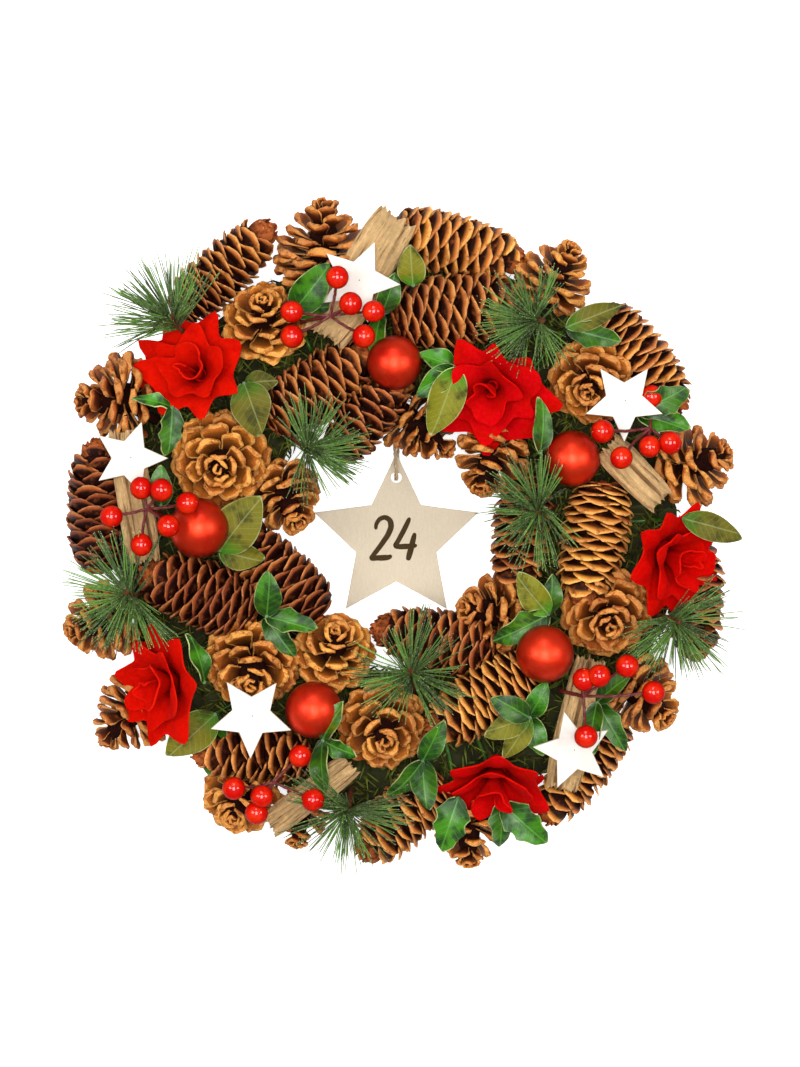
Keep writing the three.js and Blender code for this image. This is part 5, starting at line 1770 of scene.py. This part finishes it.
def billet_point(angle, t, length, width, thickness, relief, seed):
    """A point on a billet's side at a share t of its length, and how far it lies out of the cracks."""
    cos, sin = math.cos(angle), math.sin(angle)

    def rough(spread, run, origin=seed):
        return noise.noise(Vector((cos * spread, sin * spread, run)) + origin)

    form = 0.9 + 0.16 * noise.noise((Vector((cos * 1.1, sin * 1.1, t * 0.7)) + seed) * 1.3)
    ridges = rough(5.5, t * 1.1)
    crack = min(0.0, rough(3.2, t * 0.8, -seed) + 0.22)
    out = relief * (0.9 * ridges + 0.45 * rough(15, t * 2.2) + 4.5 * crack)
    from_middle = abs(2 * t - 1)
    end = (5.5 * rough(7, 9.0 + round(t)) - 1.5) * from_middle ** 3
    along = (t - 0.5) * length + (end if t > 0.5 else -end)
    square = (abs(cos) ** 3 + abs(sin) ** 3) ** (-1 / 3)
    bulk = square * form * (1 - 0.18 * from_middle ** 4)
    place = Vector((along, cos * (width / 2 * bulk + out), sin * (thickness / 2 * bulk + out * 0.8)))
    return place, max(0.0, min(1.0, 0.55 + 0.3 * ridges + 1.6 * crack))


def close_billet(mesh, rim, seat, end, length, seed):
    """The broken end of a billet at its start (-1) or end (1), in two rings and a hub inside its rim."""
    reach = end * (length / 2 - 2.5)
    previous = rim
    for shrink in (0.72, 0.4):
        inner = []
        for corner in rim:
            point = mesh.grain[corner] / MM
            wobble = 2.6 * noise.noise(Vector((point.y * 0.9, point.z * 0.9, end * 7.0)) + seed)
            cut = Vector((reach + wobble, point.y * shrink, point.z * shrink))
            inner.append(mesh.add_local(seat, cut, 0.6 + 0.1 * wobble))
        mesh.add_skin([previous, inner], closed=True)
        previous = inner
    mesh.add_cap(mesh.add_local(seat, Vector((reach, 0, 0)), 0.4), previous)


def make_driftwood(look):
    """Split, weathered billets: ridges and cracks along the fibres and ragged broken ends."""
    relief = look.relief / MM
    finishes = [driftwood_finish(look)]
    billets = like_pieces(DRIFTWOOD, "driftwood", "weathered_wood", finishes, 60, "driftwood")
    for index, (x, y, z, heading, length, width, thickness), mesh, _ in billets:
        seat = Matrix.Translation((x, y, z)) @ Matrix.Rotation(math.radians(heading), 4, "Z")
        seed = Vector((index * 13.7, index * 5.1, 2.0))
        rows = []
        for station in range(BILLET_STATIONS):
            t = station / (BILLET_STATIONS - 1)
            rows.append([])
            for corner in range(BILLET_SIDES):
                angle = 2 * math.pi * corner / BILLET_SIDES
                point, depth = billet_point(angle, t, length, width, thickness, relief, seed)
                rows[-1].append(mesh.add_local(seat, point, depth, t))
        mesh.add_skin(rows, closed=True)
        close_billet(mesh, rows[0][::-1], seat, -1, length, seed)
        close_billet(mesh, rows[-1], seat, 1, length, seed)


def make_needles(look):
    """Tufts of long thin needles, in bundles that fan out from a wrapped twig."""
    finishes = [needle_finish(look), bark_finish(look)]
    taper = [look.thickness / MM / 2 * share for _, share in NEEDLE_STEPS]
    bundles = look.per_tuft // NEEDLES_IN_BUNDLE
    tufts = like_pieces(NEEDLE_TUFTS, "needles", "needle_tuft", finishes, 60, "needle", 700)
    for _, (x, y, z, heading, tilt, length, fan_middle, fan_half), mesh, dice in tufts:
        crown, foot = Vector((x, y, z)), on_ring_top(x, y)
        twig_end = standing(crown, heading, tilt) @ Vector((0, 0, 7))
        twig = smooth_route([foot, crown * 0.5 + foot * 0.5, crown, twig_end], 6)
        radii = [1.5] * (len(twig) - len(TWIG_END)) + TWIG_END
        mesh.add_tube(twig, radii, 12, 0.5, TWIG, twist=1400, ridge=0.14)
        for _ in range(bundles):
            if dice.random() < UPRIGHT_BUNDLES:
                turn = fan_middle + (fan_half + 20) * dice.uniform(-1, 1)
                rise = dice.uniform(38, 82)
                reach = length * dice.uniform(0.55, 0.85)
            else:
                turn = fan_middle + fan_half * dice.uniform(-1, 1)
                rise = dice.triangular(-12, 58, 18)
                reach = length * dice.uniform(0.9, 1.2)
            root = crown.lerp(twig_end, 0.75 - 1.65 * dice.random())
            tone = dice.random()
            for _ in range(NEEDLES_IN_BUNDLE):
                out = heading_vector(turn + dice.gauss(0, 6), rise + dice.gauss(0, 5))
                bend = out.orthogonal().normalized() * dice.uniform(-0.12, 0.12)
                bend.z += dice.uniform(-0.16, 0.02)
                own = reach * dice.uniform(0.86, 1.08)
                path = [root + out * (0.8 + own * t) + bend * own * t * t for t, _ in NEEDLE_STEPS]
                mesh.add_tube(path, taper, 5, 0.7 * tone + 0.3 * dice.random())


def add_leaf(mesh, root, leaf, look, dice):
    heading, tilt, length, width, roll, lobes = leaf
    place = (
        Matrix.Translation(root)
        @ Matrix.Rotation(math.radians(heading), 4, "Z")
        @ Matrix.Rotation(-math.radians(tilt), 4, "Y")
        @ Matrix.Rotation(math.radians(roll), 4, "X")
    )
    wave = look.wave / MM * dice.uniform(0.6, 1.3)
    phase = dice.uniform(0, 6.28)
    cup = dice.uniform(0.07, 0.2)
    arch = dice.uniform(0.06, 0.26)
    sweep = dice.uniform(-0.09, 0.09)
    turned = -1 if 90 < roll % 360 < 270 else 1
    grid = []
    for i in range(LEAF_ROWS):
        s = i / (LEAF_ROWS - 1)
        half = width / 2 * math.sin(math.pi * min(1.0, s * 0.985 + 0.012) ** 0.82) ** 0.72
        if lobes:
            notch = 1 - (2 * ((s * (lobes + 0.4)) % 1.0) - 1) ** 2
            half *= 1.08 - 0.3 * notch * math.sin(math.pi * s) ** 0.5
        droop = 0.1 * length * math.sin(math.pi * s * 0.75) - arch * length * s * s
        grid.append([])
        for j in range(LEAF_COLUMNS):
            u = 2 * j / (LEAF_COLUMNS - 1) - 1
            lift = cup * width * abs(u) ** 1.4 * math.sin(math.pi * min(s + 0.1, 1.0)) ** 0.7
            ripple = wave * abs(u) ** 2 * math.sin(3.2 * math.pi * s + phase + (1.4 if u > 0 else 0.0))
            off = u * half + sweep * length * s * s
            point = Vector((s * length, off, turned * (lift + droop) + ripple))
            grid[-1].append((point, look.thickness / MM))
    mesh.add_blade(grid, place, dice.random(), UNDERSIDE, FACE)


def on_track(angle):
    """The place of a leaf stem in its groove on the ring, at an angle in degrees."""
    return around(math.radians(angle), STEM_TRACK, RING_HEIGHT - STEM_WIRE - 1.2)


def shoot_route(top, arc):
    """The way of a shoot from the stem, over the ring and up to its leaves."""
    angle = math.degrees(math.atan2(top[1], top[0]))
    middle = (arc[0] + arc[1]) / 2
    angle = min((angle, angle + 360, angle - 360), key=lambda a: abs(a - middle))
    start = on_track(min(max(angle, arc[0] + 1), arc[1] - 1))
    over_ring = RING_HEIGHT + STEM_WIRE + 0.65
    bends = [start, Vector((start.x, start.y, over_ring)), on_ring_top(*top[:2], over_ring), Vector(top)]
    if (bends[2] - bends[1]).length <= 4:
        bends.pop(2)
    return smooth_route(bends, 6)


def make_leaves(look):
    """Leaf sprays: stems laid round the ring, shoots between the other pieces, and waved leaves."""
    finishes = [leaf_finish(look), underleaf_finish(look)]
    sprays = like_pieces(LEAF_SPRAYS, "leaves", "leaf_spray", finishes, 60, "leaf", 900)
    for _, (arc, shoots), mesh, dice in sprays:
        stem = [on_track(arc[0] + (arc[1] - arc[0]) * step / STEM_STEPS) for step in range(STEM_STEPS + 1)]
        mesh.add_tube(stem, STEM_WIRE, 8, 0.3, FACE)
        for top, leaves in shoots:
            mesh.add_tube(shoot_route(top, arc), STEM_WIRE * 0.85, 8, 0.3, FACE)
            foot = on_ring_top(*top[:2], RING_HEIGHT)
            rise = (Vector(top) - foot).length
            for i, leaf in enumerate(leaves):
                add_leaf(mesh, Vector(top).lerp(foot, (1 + i * LEAF_STEP) / rise), leaf, look, dice)


# Operators, panel and registration


SETTINGS = {
    "wreath_stage": WreathStageSettings,
    "wreath_twine": WreathTwineSettings,
    "wreath_ring": WreathRingSettings,
    "wreath_cones": WreathConeSettings,
    "wreath_roses": WreathRoseSettings,
    "wreath_baubles": WreathBaubleSettings,
    "wreath_berries": WreathBerrySettings,
    "wreath_stars": WreathStarSettings,
    "wreath_wood": WreathWoodSettings,
    "wreath_needles": WreathNeedleSettings,
    "wreath_leaves": WreathLeafSettings,
}


class PieceOperator:
    """Makes one piece or group of like pieces from the settings of its group."""

    bl_options = {"REGISTER", "UNDO"}

    def execute(self, context):
        self.make(getattr(context.scene, self.group))
        return {"FINISHED"}


class WREATH_OT_stage(PieceOperator, Operator):
    """Set up the camera, lights and floor"""

    bl_idname = "wreath.stage"
    bl_label = "Stage"
    group = "wreath_stage"
    make = staticmethod(make_stage)


class WREATH_OT_twine(PieceOperator, Operator):
    """Hang the jute loop"""

    bl_idname = "wreath.twine"
    bl_label = "Twine loop"
    group = "wreath_twine"
    make = staticmethod(make_twine)


class WREATH_OT_ring(PieceOperator, Operator):
    """Wind the ring with ribbon"""

    bl_idname = "wreath.ring"
    bl_label = "Ring"
    group = "wreath_ring"
    make = staticmethod(make_ring)


class WREATH_OT_cones(PieceOperator, Operator):
    """Make the spruce and pine cones"""

    bl_idname = "wreath.cones"
    bl_label = "Cones"
    group = "wreath_cones"
    make = staticmethod(make_cones)


class WREATH_OT_roses(PieceOperator, Operator):
    """Make the felt roses"""

    bl_idname = "wreath.roses"
    bl_label = "Roses"
    group = "wreath_roses"
    make = staticmethod(make_roses)


class WREATH_OT_baubles(PieceOperator, Operator):
    """Make the satin baubles"""

    bl_idname = "wreath.baubles"
    bl_label = "Baubles"
    group = "wreath_baubles"
    make = staticmethod(make_baubles)


class WREATH_OT_berries(PieceOperator, Operator):
    """Make the berry sprays"""

    bl_idname = "wreath.berries"
    bl_label = "Berries"
    group = "wreath_berries"
    make = staticmethod(make_berries)


class WREATH_OT_white_stars(PieceOperator, Operator):
    """Make the white painted stars"""

    bl_idname = "wreath.white_stars"
    bl_label = "White stars"
    group = "wreath_stars"
    make = staticmethod(make_white_stars)


class WREATH_OT_number_star(PieceOperator, Operator):
    """Make the plain star with its figures"""

    bl_idname = "wreath.number_star"
    bl_label = "Plain star"
    group = "wreath_stars"
    make = staticmethod(make_number_star)


class WREATH_OT_driftwood(PieceOperator, Operator):
    """Make the driftwood"""

    bl_idname = "wreath.driftwood"
    bl_label = "Driftwood"
    group = "wreath_wood"
    make = staticmethod(make_driftwood)


class WREATH_OT_needles(PieceOperator, Operator):
    """Make the needle tufts"""

    bl_idname = "wreath.needles"
    bl_label = "Needles"
    group = "wreath_needles"
    make = staticmethod(make_needles)


class WREATH_OT_leaves(PieceOperator, Operator):
    """Make the leaf sprays"""

    bl_idname = "wreath.leaves"
    bl_label = "Leaves"
    group = "wreath_leaves"
    make = staticmethod(make_leaves)


OPERATORS = (
    WREATH_OT_stage, WREATH_OT_twine, WREATH_OT_ring, WREATH_OT_cones, WREATH_OT_roses, WREATH_OT_baubles,
    WREATH_OT_berries, WREATH_OT_white_stars, WREATH_OT_number_star, WREATH_OT_driftwood, WREATH_OT_needles,
    WREATH_OT_leaves,
)


class WREATH_PT_pieces(Panel):
    """Lists the wreath's pieces in the order in which they are made"""

    bl_idname = "WREATH_PT_pieces"
    bl_label = "Christmas Wreath"
    bl_space_type = "VIEW_3D"
    bl_region_type = "UI"
    bl_category = "Wreath"

    def draw(self, context):
        for operator in OPERATORS:
            box = self.layout.box()
            box.operator(operator.bl_idname, text=operator.bl_label)
            for setting in SETTINGS[operator.group].__annotations__:
                box.prop(getattr(context.scene, operator.group), setting)


def register():
    for group, settings in SETTINGS.items():
        bpy.utils.register_class(settings)
        setattr(bpy.types.Scene, group, PointerProperty(type=settings))
    for operator in (*OPERATORS, WREATH_PT_pieces):
        bpy.utils.register_class(operator)


def unregister():
    for operator in (WREATH_PT_pieces, *reversed(OPERATORS)):
        bpy.utils.unregister_class(operator)
    for group, settings in SETTINGS.items():
        delattr(bpy.types.Scene, group)
        bpy.utils.unregister_class(settings)


def main():
    register()
    for operator in OPERATORS:
        getattr(bpy.ops.wreath, operator.bl_idname.split(".")[1])()


if __name__ == "__main__":
    main()
